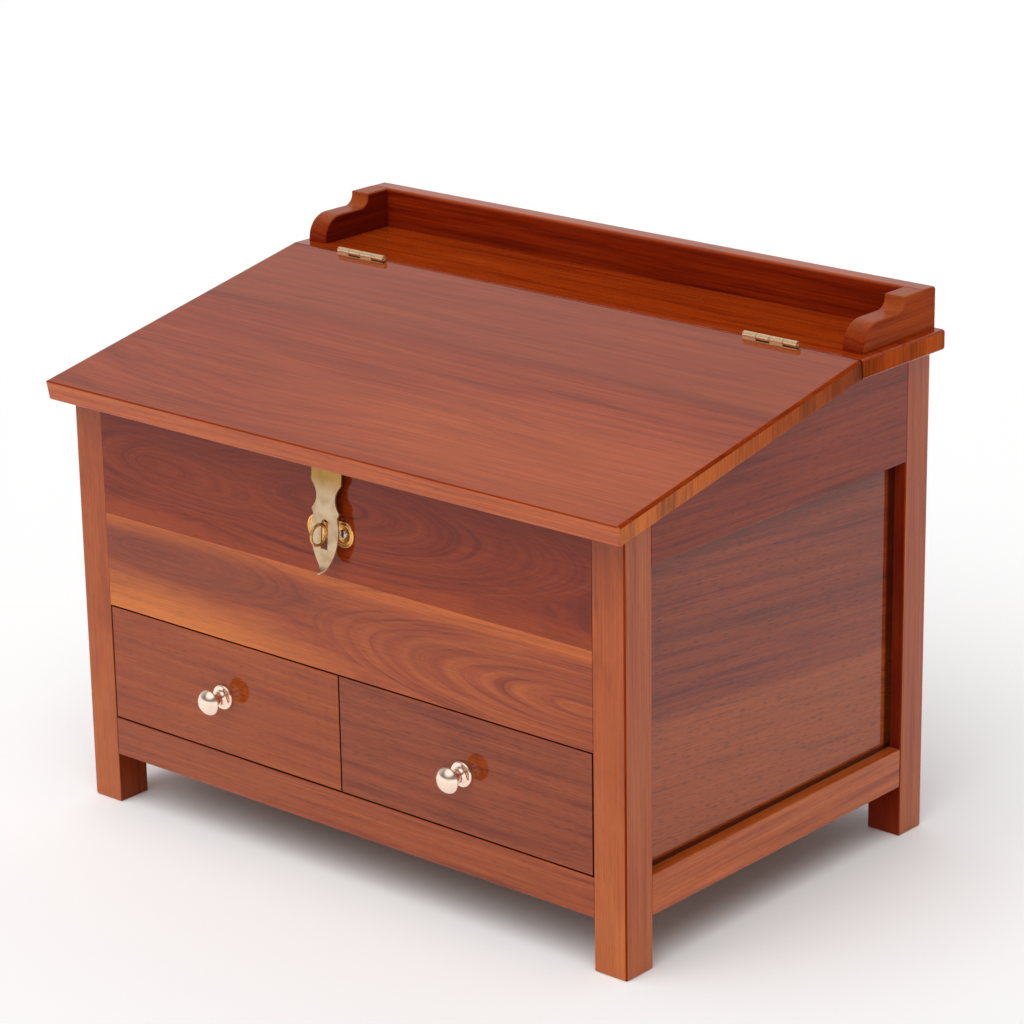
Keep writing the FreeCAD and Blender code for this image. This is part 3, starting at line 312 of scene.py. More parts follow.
def metal(name, bright, dull, roughness, patch, dulled, rise=None):
    """Bare metal: clean ground with duller patches, and a gloss that wear breaks up. Where a rise is given,
    painted shade turns the metal to its dull tone from its lower height to its upper one."""
    material, tree, surface = new_finish(name, {"Metallic": 1.0})
    place = add(tree, "TexCoord").outputs["Object"]
    patches = add(tree, "TexNoise", {
        "Vector": place, "Scale": 1 / (patch * MM), "Detail": 4.0,
    }).outputs["Fac"]
    dull_spots_and_shade = add(tree, "MapRange", {
        "Value": patches, "From Min": 0.45, "From Max": 0.7, "To Max": dulled,
    }).outputs["Result"]
    # Painted shade: the dull tone fills the metal above the rise, as in the shade of an overhang
    if rise:
        height = add(tree, "SeparateXYZ", {"Vector": place}).outputs["Z"]
        upper = add(tree, "MapRange", {"Value": height, "From Min": rise[0] * MM, "From Max": rise[1] * MM})
        dull_spots_and_shade = add(tree, "Math", {0: dull_spots_and_shade, 1: upper.outputs["Result"]}, operation="MAXIMUM").outputs[0]
    colour = add(tree, "Mix", {0: dull_spots_and_shade, 6: linear(bright), 7: linear(dull)}, data_type="RGBA").outputs[2]
    rough = add(tree, "MapRange", {
        "Value": patches, "From Min": 0.3, "From Max": 0.7,
        "To Min": roughness * 0.75, "To Max": roughness * 1.35,
    }).outputs["Result"]
    tree.links.new(colour, surface.inputs["Base Color"])
    tree.links.new(rough, surface.inputs["Roughness"])
    return material


# Turned and polished brass: mirror-bright, a little rosy
polished_brass = metal("polished brass", "#ffe8d6", "#f1c894", 0.16, 4.0, 0.3)
# Rolled brass of the hinges, rubbed and dusty: soft pale highlights
hinge_brass = metal("rubbed hinge brass", "#fbdcb2", "#bd8748", 0.38, 1.2, 0.45)
# Cast brass of the staple, deep gold where it is not rubbed
staple_brass = metal("golden cast brass", "#ffc878", "#c07c30", 0.28, 1.6, 0.5)
# Wire of the ring, browned by handling
ring_brass = metal("browned brass wire", "#e0ae6c", "#86602f", 0.3, 1.6, 0.7)
# Sheet brass of the strap, filed and satin: pale tan, with painted shade that turns it more golden at its
# top under the lid
strap_brass = metal("satin sheet brass", "#d4ba9a", "#b58c50", 0.45, 9.0, 0.5, (311.0, 327.0))
# Plated steel of the screws: grey, with a soft shine
screw_steel = metal("plated screw steel", "#cfc9c0", "#7f776c", 0.22, 0.8, 0.5)

# Dark, middle and light tone of each board
POST_TONES = ("#903c11", "#a64a15", "#b45b22")
REAR_TONES = ("#893410", "#9e4417", "#ad5222")
RAIL_TONES = ("#7d3013", "#954117", "#a34e22")
SIDE_RAIL_TONES = ("#8c3912", "#b05019", "#bd5f24")
UPPER_TONES = ("#591606", "#7e290a", "#923a11")
LOWER_TONES = ("#782b11", "#9c4319", "#ae5420")
DRAWER_TONES = {
    "left": ("#803010", "#974115", "#a54e1b"),
    "right": ("#712912", "#893a17", "#97461e"),
}
SIDE_TONES = ("#5c190a", "#7f2910", "#903714")
PANEL_TONES = ("#63200d", "#853012", "#953e17")
LID_TONES = ("#7c2a10", "#933713", "#a3451b")
LID_EDGE_TONES = ("#9b4217", "#b04f20", "#bd5f2b")
SHELF_TONES = ("#782206", "#943208", "#a7410e")
GALLERY_TONES = ("#641502", "#7d2005", "#8f2c09")
EAR_TONES = ("#7c2806", "#94380a", "#a4460f")
# Darker tones that paint the dark reflection on rounded edges
ARRIS_SHADE_TONES = ("#742406", "#892f08", "#993b0d")
# Darker tones that paint the shade on the legs' inner faces
LEG_INNER_SHADE_TONES = ("#6a2409", "#823310", "#934219")
# Darker tones that paint the shade in the side frames' recess
RECESS_SHADE_TONES = ("#641706", "#782009", "#8a2c0e")
# Darker tones that paint the shade on the ears' inner faces
HOLLOW_SHADE_TONES = ("#541004", "#691706", "#7b2209")
# Near-black tones that paint the shade inside gaps and joints
JOINT_SHADE_TONES = ("#360d04", "#461406", "#541b09")
RAW_TONES = ("#80502c", "#94623a", "#a57247")
LID_END_TONES = ("#7e340f", "#a84e17", "#bf6428")
SHELF_END_TONES = ("#8a3407", "#9e4110", "#aa4c16")


# Mesh tools

def extruded(corners, axis, low, high):
    """Straight solid: one face with the given outline, drawn out along an axis."""
    number = "XYZ".index(axis)
    solid = bmesh.new()
    points = [(*corner[:number], low, *corner[number:]) for corner in corners]
    face = solid.faces.new([solid.verts.new(point) for point in points])
    grown = bmesh.ops.extrude_face_region(solid, geom=[face])["geom"]
    ends = [part for part in grown if isinstance(part, bmesh.types.BMVert)]
    draw = Vector([high - low if each == axis else 0 for each in "XYZ"])
    bmesh.ops.translate(solid, verts=ends, vec=draw)
    bmesh.ops.recalc_face_normals(solid, faces=solid.faces)
    return solid


def block(low, high):
    """Straight block between two corners."""
    low = Vector(low)
    high = Vector(high)
    solid = bmesh.new()
    bmesh.ops.create_cube(solid, size=1, matrix=Matrix.Translation((low + high) / 2)
                          @ Matrix.Diagonal((*(high - low), 1)))
    return solid


def node_corners(name):
    """Low and high corner of a CAD node, in millimetres."""
    low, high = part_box(name)
    return [part / MM for part in low], [part / MM for part in high]


def ease(solid, radius, wanted=None, steps=3):
    """Round the sharp edges of a solid, or those whose middle and direction pass a test."""
    edges = []
    for edge in solid.edges:
        start, end = (vert.co for vert in edge.verts)
        middle = (start + end) / 2
        run = (end - start).normalized()
        if edge.calc_face_angle(0) > math.radians(25) and (wanted is None or wanted(middle, run)):
            edges.append(edge)
    bmesh.ops.bevel(solid, geom=edges, offset=radius, affect="EDGES", segments=steps, profile=0.5,
                    material=-1, clamp_overlap=True)
    return solid


def arc(centre, radius, start, end, count=10):
    """Points on an arc, angles in degrees."""
    points = []
    for step in range(count + 1):
        angle = math.radians(start + (end - start) * step / count)
        points.append((centre[0] + radius * math.cos(angle), centre[1] + radius * math.sin(angle)))
    return points


def turned(profile, steps=72):
    """Turned solid about Z from (radius, height) points."""
    solid = bmesh.new()
    verts = [solid.verts.new((radius, 0, height)) for radius, height in profile]
    edges = [solid.edges.new(pair) for pair in zip(verts, verts[1:])]
    bmesh.ops.spin(solid, geom=verts + edges, cent=(0, 0, 0), axis=(0, 0, 1), angle=math.tau, steps=steps,
                   use_merge=True)
    bmesh.ops.remove_doubles(solid, verts=solid.verts, dist=0.001)
    bmesh.ops.recalc_face_normals(solid, faces=solid.faces)
    return solid


def moved(solid, matrix):
    """The same solid in another place."""
    bmesh.ops.transform(solid, matrix=matrix, verts=solid.verts)
    return solid


def joined(solids):
    """Several solids as one mesh."""
    whole = bmesh.new()
    for solid in solids:
        spare = bpy.data.meshes.new("spare")
        solid.to_mesh(spare)
        solid.free()
        whole.from_mesh(spare)
        bpy.data.meshes.remove(spare)
    return whole


def finished(name, solid, body, material, nodes, sharp=35, others=()):
    """Piece that rides on a body and stands for CAD nodes. Faces whose normal passes a test take another
    finish, and of several the last."""
    bmesh.ops.transform(solid, matrix=Matrix.Scale(MM, 4), verts=solid.verts)
    solid.normal_update()
    for number, (wanted, finish) in enumerate(others, 1):
        for face in solid.faces:
            if wanted(face.normal):
                face.material_index = number
    mesh = bpy.data.meshes.new(name)
    solid.to_mesh(mesh)
    solid.free()
    mesh.shade_smooth()
    mesh.set_sharp_from_angle(angle=math.radians(sharp))
    for each in (material, *(finish for wanted, finish in others)):
        mesh.materials.append(each)
    thing = bpy.data.objects.new(name, mesh)
    bpy.context.scene.collection.objects.link(thing)
    even = thing.modifiers.new("even_shading", "WEIGHTED_NORMAL")
    even.keep_sharp = True
    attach(thing, body)
    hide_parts(*nodes)


def dress(names, material):
    """Give CAD nodes that stay in view their finish."""
    for name in names:
        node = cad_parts[name]
        node.data.materials.clear()
        node.data.materials.append(material)


# Finishes shared by several boards: planed only inside, and painted shade on faces that turn away, in the
# joints and on rounded corners

raw_long = teak("planed teak along the depth", "Y", RAW_TONES, 1.1,
                cloud=0.2, streak=0.1, pore=0.3, coat=0.0)
raw_wide = teak("planed teak along the width", "X", RAW_TONES, 2.3,
                cloud=0.2, streak=0.1, pore=0.3, coat=0.0)
# Painted shade: the rear posts' front faces, deep in the side frame's recess, take a darker tone
recess_shade_teak = teak("teak inside the frames with painted shade", "Z", RECESS_SHADE_TONES, 3.3,
                   depth="Y", ring=5.0, swirl=60.0, coat=0.4)
# Painted shade: faces inside gaps and joints, such as the drawers' edges, the front rail's top and the
# lid's and shelf's joint faces, take a near-black tone without varnish
joint_shade = teak("unvarnished teak with painted shade in the joints", "X", JOINT_SHADE_TONES, 5.9, ring=4.0, coat=0.0)
# Painted shade: the posts' inner faces under the desk take a darker tone than their outer faces
leg_inner_shade = teak("teak of the legs' inner faces with painted shade", "Z", LEG_INNER_SHADE_TONES, 4.7,
                 depth="Y", ring=5.0, swirl=60.0, coat=0.4)
# Painted shade: the posts' rounded outer corners take a darker, saturated tone under a thin coat, standing
# for the dark room they mirror
post_arris_shade = teak("rubbed teak of the posts' rounded corners", "Z", ARRIS_SHADE_TONES, 2.4, coat=0.1, gloss=0.2)

# Posts: tops cut to the lid's seat, outer corner and foot well rounded

POST_CORNER = 2.2
POST_FOOT = 1.7
POST_EDGE = 0.9
SEAT_FRONT = (SHELF_TOP - (HINGE_LINE - FRONT) * math.tan(SLOPE)
              - (LID_THICK + SEAT_GAP) / math.cos(SLOPE))


def seat_height(y):
    """Height of the sloping seat under the lid, level under the shelf."""
    return min(SEAT_FRONT + (y - FRONT) * math.tan(SLOPE), SHELF_UNDER)


for side, sign in SIDES:
    for place, near, far, outer, tones, shift in (
            ("front", FRONT, FRONT + POST, FRONT, POST_TONES, 0.4),
            ("rear", BACK - POST, BACK, BACK, REAR_TONES, 2.6)):
        corners = ((near, 0), (far, 0), (far, seat_height(far)), (near, seat_height(near)))
        low, high = sorted((sign * HALF_WIDTH, sign * POST_INNER))
        post = extruded(corners, "X", low, high)
        ease(post, POST_CORNER, lambda middle, run: abs(middle.x - sign * HALF_WIDTH) < SAME
             and abs(middle.y - outer) < SAME, steps=4)
        ease(post, POST_FOOT, lambda middle, run: middle.z < SAME)
        ease(post, POST_EDGE, lambda middle, run: middle.z > 2, steps=2)
        post_teak = teak(f"varnished teak of the {place} {side} post", "Z", tones, 1.7 + 0.9 * sign + shift,
                         depth="Y", ring=5.0, swirl=60.0, warp=20.0, cloud=0.2, streak=0.1, pore=0.15,
                         bands=(("X", 0, 45, 45, 0, "#c0692f", 0.3),))
        finished(f"{place}_{side}_post", post, "carcass", post_teak, [f"post_{place}_{side}"],
                 others=((lambda normal: normal.x * sign < -ALONG, leg_inner_shade),
                         (lambda normal: place == "rear" and normal.y < -ALONG, recess_shade_teak),
                         (lambda normal: normal.x * sign > 0.25 and normal.y < -0.25, post_arris_shade)))

# Side frames: sloping upper rail, straight lower rail, sunk panel of two planks

SIDE_RAIL_EDGE = 1.1
SIDE_RAIL_BROW = 2.0
for side, sign in SIDES:
    near = FRONT + POST
    far = BACK - POST
    low, high = sorted((sign * HALF_WIDTH, sign * (HALF_WIDTH - RAIL)))
    bottom = node_corners(f"side_upper_rail_{side}")[0][2]
    seat_break = FRONT + (SHELF_UNDER - SEAT_FRONT) / math.tan(SLOPE)
    corners = ((near, bottom), (far, bottom), (far, SHELF_UNDER), (seat_break, SHELF_UNDER),
               (near, seat_height(near)))
    rail = extruded(corners, "X", low, high)
    ease(rail, SIDE_RAIL_BROW, lambda middle, run: middle.z < bottom + 1
         and abs(middle.x) > HALF_WIDTH - 1, steps=4)
    ease(rail, SIDE_RAIL_EDGE, lambda middle, run: middle.z > bottom + 2)
    rail_teak = teak(f"varnished teak of the {side} upper rail", "Y", SIDE_TONES, 3.1 + sign,
                     swirl=80.0, warp=30.0, spread=0.25, cloud=0.5, streak=0.2, pore=0.35, lean=3.0,
                     coat=0.8)
    finished(f"{side}_upper_rail", rail, "carcass", rail_teak, [f"side_upper_rail_{side}"])
    rail = ease(block((low, near, LOW_RAIL[0]), (high, far, LOW_RAIL[1])), SIDE_RAIL_EDGE)
    rail_teak = teak(f"varnished teak of the {side} lower rail", "Y", SIDE_RAIL_TONES, 5.3 + sign,
                     swirl=70.0, warp=30.0, streak=0.12, pore=0.2)
    finished(f"{side}_lower_rail", rail, "carcass", rail_teak, [f"side_lower_rail_{side}"])
    panel_teak = teak(
        f"varnished teak of the {side} panel", "Y", PANEL_TONES, 7.9 + 2 * sign,
        ring=8.0, warp=30.0, spread=0.25, pore=0.45, lean=5.7,
        bands=(("Z", 112, 62, 7, 6, "#ac5220", 0.6), ("Z", 232, 4, 6, 8, "#4a150b", 0.45)),
        # Painted shade along the rear post, along the lower rail, where it also stands for the rail's dark
        # reflection, and under the upper rail
        painted_shades=(("Y", far - 7.5, far - 10.5, 0.85), ("Z", LOW_RAIL[1] + 3.0, LOW_RAIL[1] + 6.0, 0.85),
                ("Z", bottom - 1.0, bottom - 20.0, 0.4)))
    dress([f"side_panel_{side}"], panel_teak)

# Front and back frames

RAIL_EDGE = 1.0
rail = block((-POST_INNER, FRONT, LOW_RAIL[0]), (POST_INNER, FRONT + RAIL, LOW_RAIL[1]))
rail_teak = teak("varnished teak of the front rail", "X", RAIL_TONES, 2.2,
                 ring=5.0, swirl=70.0, streak=0.2, pore=0.2)
finished("front_rail", ease(rail, RAIL_EDGE), "carcass", rail_teak, ["front_bottom_rail"],
         others=((lambda normal: normal.z > ALONG, joint_shade),))
back_teak = teak("varnished teak of the back rails", "X", RAIL_TONES, 6.4, ring=5.0, swirl=70.0)
for name, top in (("back_lower_rail", LOW_RAIL[1]), ("back_upper_rail", SHELF_UNDER)):
    bottom = node_corners(name)[0][2]
    rail = ease(block((-POST_INNER, BACK - RAIL, bottom), (POST_INNER, BACK, top)), RAIL_EDGE)
    finished(f"{name}_board", rail, "carcass", back_teak, [name])
back_panel_teak = teak("varnished teak of the back panel", "X", PANEL_TONES, 8.7,
                       ring=8.0, streak=0.4, pore=0.4)
dress(["back_panel"], back_panel_teak)

# Front boards: the upper one dark and full of swirls, the lower one with pale sapwood along its edges

BOARD_EDGE = 0.3
board_low, board_high = node_corners("front_board_lower")
board_foot = board_low[2]
seam = board_high[2]
inner_face = FRONT + BOARD
corners = ((FRONT, seam), (inner_face, seam), (inner_face, seat_height(inner_face)),
           (FRONT, seat_height(FRONT)))
upper_teak = teak(
    "varnished teak of the upper front board", "X", UPPER_TONES, 4.15,
    depth="Y", ring=5.0, warp=60.0, spread=0.22, cloud=0.25, pore=0.2, coat=0.8,
    # The darker band towards the board's top is painted shade under the lid's nose
    bands=(("Z", 350, 45, 40, 8, "#741f08", 0.5), ("Z", 252, 8, 8, 6, "#a0400f", 0.5)),
    nests=((-5, "Z", 306, 240, 50, 80), (-205, "Z", 300, 120, 42, 60)))
board = ease(extruded(corners, "X", -POST_INNER, POST_INNER), BOARD_EDGE, steps=2)
finished("upper_front_board", board, "carcass", upper_teak, ["front_board_upper"])
lower_teak = teak(
    "varnished teak of the lower front board", "X", LOWER_TONES, 9.35,
    depth="Y", warp=60.0, spread=0.18, cloud=0.25, pore=0.15,
    bands=(("Z", 245, 7, 5, 5, "#bb5b1e", 0.8),),
    patches=((-165, "Z", 221, 190, 25, "#762e17", 0.62), (-195, "Z", 162, 340, 52, "#ce6f29", 0.95)),
    nests=((240, "Z", 201, 265, 46, 75), (-190, "Z", 226, 150, 26, 55)))
board = block((-POST_INNER, FRONT, board_foot), (POST_INNER, inner_face, seam))
ease(board, BOARD_EDGE, steps=2)
finished("lower_front_board", board, "carcass", lower_teak, ["front_board_lower"])

# Lid and shelf meet in a mitred joint; two notches in the lid's rear edge take the hinges

LID_END_EDGE = 3.4
LID_NOSE_EDGE = 1.5
SHELF_EDGE = 2.6
JOINT_EDGE = 0.5
HINGE_X = 210.0
HINGE_HALF = 25.4
BARREL = 2.6
BARREL_LIFT = 2.9
LEAF = 1.4
LEAF_DROP = 14.0
JOINT_FACE = 0.25
HINGE_SET = BARREL - JOINT_FACE
NOTCH = BARREL + HINGE_SET
NOTCH_CLEAR = 0.3


def lid_point(run, depth):
    """Point of the lid's cross-section by the run down the slope and the depth under the top."""
    return (HINGE_LINE - run * math.cos(SLOPE) + depth * math.sin(SLOPE),
            SHELF_TOP - run * math.sin(SLOPE) - depth * math.cos(SLOPE))


lid_length = (HINGE_LINE - FRONT + LID_NOSE) / math.cos(SLOPE)
lid_start = JOINT_FACE / math.cos(HALF_SLOPE)
joint_lean = LID_THICK * math.tan(HALF_SLOPE)
notch_wall = NOTCH / math.cos(HALF_SLOPE)
notch_half = HINGE_HALF + NOTCH_CLEAR
lid_outline = [(-SHELF_HALF, -lid_length), (SHELF_HALF, -lid_length), (SHELF_HALF, -lid_start)]
for notch in (HINGE_X, -HINGE_X):
    lid_outline += [(notch + notch_half, -lid_start), (notch + notch_half, -notch_wall),
                    (notch - notch_half, -notch_wall), (notch - notch_half, -lid_start)]
lid_outline.append((-SHELF_HALF, -lid_start))
# The lid is made flat, with its top at zero height and its rear edge at the hinge line, then tilted
lid = extruded(lid_outline, "Z", 0, -LID_THICK)
for vert in lid.verts:
    if vert.co.z < -1 and vert.co.y > -50:
        vert.co.y -= joint_lean
ease(lid, LID_END_EDGE, lambda middle, run: abs(abs(middle.x) - SHELF_HALF) < SAME and middle.y < -20,
     steps=5)
ease(lid, LID_NOSE_EDGE, lambda middle, run: middle.y < 2 - lid_length and abs(run.x) > ALONG, steps=4)
ease(lid, JOINT_EDGE, lambda middle, run: middle.y > -2.2, steps=2)
moved(lid, Matrix.Translation((0, HINGE_LINE, SHELF_TOP)) @ Matrix.Rotation(SLOPE, 4, "X"))
lid_teak = teak(
    "varnished teak of the lid", "X", LID_TONES, 1.3,
    depth="Y", ring=9.0, swirl=100.0, warp=40.0, streak=0.15, pore=0.1, coat=0.78,
    bands=(("Y", 48, 61, 7, 5, "#8f4122", 0.5), ("Y", -14, 3, 8, 6, "#6b2413", 0.5)),
    patches=((240, "Y", -130, 380, 110, "#bb5822", 0.42),),
    nests=((-110, "Y", -150, 200, 45, 35), (190, "Y", -115, 170, 40, 30)))
lid_edge = teak("varnished teak of the lid's front edge", "X", LID_EDGE_TONES, 3.7,
                cloud=0.25, streak=0.15, pore=0.15)
# Painted shade: the lid's rounded top edges take a darker, saturated tone under a thin coat, standing for
# the dark room they mirror
lid_arris_shade = teak("rubbed teak of the lid's rounded edges", "X", ARRIS_SHADE_TONES, 4.9, coat=0.12, gloss=0.2)
lid_end = teak_end_grain("end grain of the lid", LID_END_TONES, 0.4,
                         golden=FRONT - LID_NOSE, brown=HINGE_LINE, coats=(0.5, 0.15))
finished("lid", lid, "lid", lid_teak, ["lid_board"], others=(
    (lambda normal: abs(normal.x) > 0.8, lid_end),
    (lambda normal: normal.y < -0.55, lid_edge),
    (lambda normal: normal.z > 0.2 and (normal.y < -0.4 or 0.35 < abs(normal.x) < 0.95), lid_arris_shade),
    (lambda normal: normal.y > ALONG or (normal.y > 0.3 and abs(normal.x) > 0.3), joint_shade)))

shelf_front = HINGE_LINE + lid_start
shelf_corners = ((shelf_front + joint_lean, SHELF_UNDER), (SHELF_BACK, SHELF_UNDER),
                 (SHELF_BACK, SHELF_TOP), (shelf_front, SHELF_TOP))
shelf = extruded(shelf_corners, "X", -SHELF_HALF, SHELF_HALF)
ease(shelf, SHELF_EDGE, lambda middle, run: middle.y > shelf_front + 5, steps=4)
ease(shelf, JOINT_EDGE, lambda middle, run: middle.y < shelf_front + 3, steps=2)
shelf_teak = teak("varnished teak of the shelf", "X", SHELF_TONES, 2.75,
                  depth="Y", ring=7.0, streak=0.2, pore=0.15)
shelf_end = teak_end_grain("end grain of the shelf", SHELF_END_TONES, 1.9,
                           golden=SHELF_BACK, brown=HINGE_LINE, coats=(0.1, 0.05))
finished("shelf", shelf, "carcass", shelf_teak, ["top_shelf"], others=(
    (lambda normal: abs(normal.x) > 0.95, shelf_end),
    (lambda normal: normal.y < -ALONG or (normal.y < -0.3 and abs(normal.x) > 0.3), joint_shade)))

# Gallery: a low rail at the back and two scrolled ears

GALLERY_EDGE = 2.6
low, high = node_corners("gallery_back")
gallery = block(low, high)
ease(gallery, GALLERY_EDGE, lambda middle, run: middle.z > high[2] - 1
     or (middle.z > SHELF_TOP + 1 and middle.y > high[1] - 1), steps=4)
gallery_teak = teak("varnished teak of the gallery", "X", GALLERY_TONES, 6.9,
                    ring=5.0, swirl=60.0, pore=0.15, coat=0.8, upright=0.1,
                    # The lighter band along the top is a painted highlight where the rail faces up to the
                    # light
                    bands=(("Z", 446, 5, 2, 0, "#b4562a", 0.8),))
ear_teak = teak("varnished teak of the ears", "Y", EAR_TONES, 4.4,
                ring=4.0, swirl=50.0, streak=0.2, pore=0.15, coat=0.15)
ear_edge = teak("varnished teak of the ears' edges", "Y", GALLERY_TONES, 2.1,
                ring=4.0, swirl=50.0, streak=0.2, pore=0.15, coat=0.6, upright=0.1, gloss=0.3,
                # The lighter band over the upper part is painted light on the edges that face up
                bands=(("Z", 444, 20, 14, 0, "#9a471c", 0.9),))
# Painted shade: the ears' inner faces take a darker tone than their outer faces
ear_hollow_shade = teak("varnished teak of the ears' inner faces with painted shade", "Y", HOLLOW_SHADE_TONES, 7.2,
                  ring=4.0, swirl=50.0, streak=0.2, pore=0.15, coat=0.35)
finished("gallery_rail", gallery, "carcass", gallery_teak, ["gallery_back"],
         others=((lambda normal: abs(normal.x) > ALONG, ear_teak),))

EAR_SETBACK = 11.5
EAR_SHOULDER = 22.0
EAR_COVE = 9.0
EAR_CROWN = 24.5
EAR_NOSE = 19.5
EAR_EDGE = 1.8
EAR_CROWN_EDGE = 1.2
for side, sign in SIDES:
    low, high = node_corners(f"gallery_ear_{side}")
    nose = HINGE_LINE + EAR_SETBACK
    step = high[1] - EAR_CROWN
    shoulder = SHELF_TOP + EAR_SHOULDER
    corners = [(nose, SHELF_TOP), (high[1], SHELF_TOP), (high[1], high[2]), (step, high[2])]
    corners += arc((step - EAR_COVE, shoulder + EAR_COVE), EAR_COVE, 0, -90)
    corners += arc((nose + EAR_NOSE, shoulder - EAR_NOSE), EAR_NOSE, 90, 180)
    ear = extruded(corners, "X", low[0], high[0])
    ease(ear, EAR_EDGE, lambda middle, run: middle.z > SHELF_TOP + 0.5 and middle.y < high[1] - 0.5
         and abs(run.x) < 0.1, steps=4)
    ease(ear, EAR_CROWN_EDGE, lambda middle, run: middle.z > high[2] - 0.5 and abs(run.x) > ALONG
         and middle.y < high[1] - 0.5)
    finished(f"{side}_ear", ear, "carcass", ear_teak, [f"gallery_ear_{side}"],
             others=((lambda normal: abs(normal.x) < ALONG, ear_edge),
                     (lambda normal: normal.x * sign < -ALONG, ear_hollow_shade)))

# Hinges: leaf, knuckles bored for the pin, and a web from each knuckle to its leaf

PIN_BORE = 1.35
BORE_EASE = 0.3
KNUCKLE_EASE = 0.4
KNUCKLE_PITCH = 2 * HINGE_HALF / 4
KNUCKLE_GAP = 0.3
LEAF_PROUD = 0.12
LEAF_SUNK = 0.15
leaf_reach = {
    "shelf": (JOINT_FACE - LEAF, JOINT_FACE - LEAF_PROUD),
    "lid": (LEAF_PROUD - NOTCH, LEAF - NOTCH),
}
knuckle_places = {"lid": (0, 2), "shelf": (1, 3)}
knuckle_length = KNUCKLE_PITCH - KNUCKLE_GAP
rim = BARREL - KNUCKLE_EASE
tube_profile = [(PIN_BORE, BORE_EASE), (PIN_BORE + BORE_EASE, 0), (rim, 0)]
tube_profile += arc((rim, KNUCKLE_EASE), KNUCKLE_EASE, -60, 0, 3)
tube_profile += [(radius, knuckle_length - height) for radius, height in reversed(tube_profile)]
tube_profile.append(tube_profile[0])
for side, sign in SIDES:
    to_hinge = (Matrix.Translation((sign * HINGE_X, HINGE_LINE, SHELF_TOP))
                @ Matrix.Rotation(HALF_SLOPE, 4, "X"))
    for owner, body in (("shelf", "carcass"), ("lid", "lid")):
        near, far = leaf_reach[owner]
        leaf = block((-HINGE_HALF, near, -LEAF_DROP), (HINGE_HALF, far, -LEAF_SUNK))
        solids = [ease(leaf, 0.25, steps=2)]
        for number in knuckle_places[owner]:
            start = -HINGE_HALF + number * KNUCKLE_PITCH + KNUCKLE_GAP / 2
            web = block((start, near, -1.0), (start + knuckle_length, far, BARREL_LIFT - 0.2))
            solids.append(ease(web, 0.2, steps=2))
            tube = moved(turned(tube_profile, 40), Matrix.Translation((start, -HINGE_SET, BARREL_LIFT))
                         @ Matrix.Rotation(QUARTER_TURN, 4, "Y"))
            solids.append(tube)
        finished(f"hinge_{side}_{owner}_half", moved(joined(solids), to_hinge), body, hinge_brass,
                 [f"hinge_{side}_{owner}_leaf"])
    dress([f"hinge_{side}_pin"], hinge_brass)
dress(["hinge_screws_shelf", "hinge_screws_lid", "hasp_leaf", "hasp_screws", "hasp_pin"], hinge_brass)

# Hasp strap: a sheet drawn down in rows, slotted, thickened, with its tip bent outwards

HASP_SETBACK = 12.3
HASP_HALF = 15.25
HASP_DROP = 3.0
HASP_BARREL = 2.4
HASP_BORE = 1.05
HASP_MIDDLE = 6.3
STRAP_THICK = 1.6
STRAP_LEAN = math.radians(5)
STRAP_END = 77.0
STRAP_END_HALF = 4.75
SLOT_HALF = 3.4
SLOT_TOP = 41.2
SLOT_FOOT = 63.7
LIP = 8.0
LIP_BEND = math.radians(65)
LIP_RADIUS = 3.0
LIP_POINT_HALF = 0.7
LIP_STEPS = 8
hasp_y, hasp_z = lid_point(lid_length - HASP_SETBACK, LID_THICK + HASP_DROP)


def bulge(start, end, rise, count):
    """Points from one (half-width, distance) to another along an arc with the given rise outwards."""
    points = []
    for step in range(count + 1):
        share = step / count
        width = start[0] + (end[0] - start[0]) * share + rise * 4 * share * (1 - share)
        points.append((width, start[1] + (end[1] - start[1]) * share))
    return points


# Half-widths at distances down from the pin: straight head, waist between two corners, leaf, narrowing end
shoulder = (HASP_HALF - 0.3, 13.6)
corner = (14.0, 34.6)
leaf_end = (11.2, 65.5)
edge_points = [(HASP_HALF, 2.8), (HASP_HALF, 12.6), shoulder]
edge_points += bulge(shoulder, corner, -5.0, 14)[1:]
edge_points += [(13.8, 35.4), (12.4, 37.9)]
edge_points += bulge((12.2, 38.5), leaf_end, 2.1, 18)
edge_points += bulge(leaf_end, (STRAP_END_HALF, STRAP_END), 0.5, 6)[1:]
rows = []
for half, run in edge_points:
    arch = min(max((run - SLOT_TOP) / SLOT_HALF, 0.0), 1.0)
    inner = max(SLOT_HALF * math.sqrt(1 - (1 - arch) ** 2), 0.8) if run < SLOT_FOOT else SLOT_HALF
    rows.append((half, min(inner, half * 0.7), 0.0, run))
for step in range(1, LIP_STEPS + 1):
    share = step / LIP_STEPS
    length = LIP * share
    angle = min(length / LIP_RADIUS, LIP_BEND)
    beyond = max(length - LIP_RADIUS * LIP_BEND, 0.0)
    out = LIP_RADIUS * (1 - math.cos(angle)) + beyond * math.sin(angle)
    down = LIP_RADIUS * math.sin(angle) + beyond * math.cos(angle)
    half = STRAP_END_HALF + (LIP_POINT_HALF - STRAP_END_HALF) * share ** 0.85
    rows.append((half, half * 0.6, -out, STRAP_END + down))

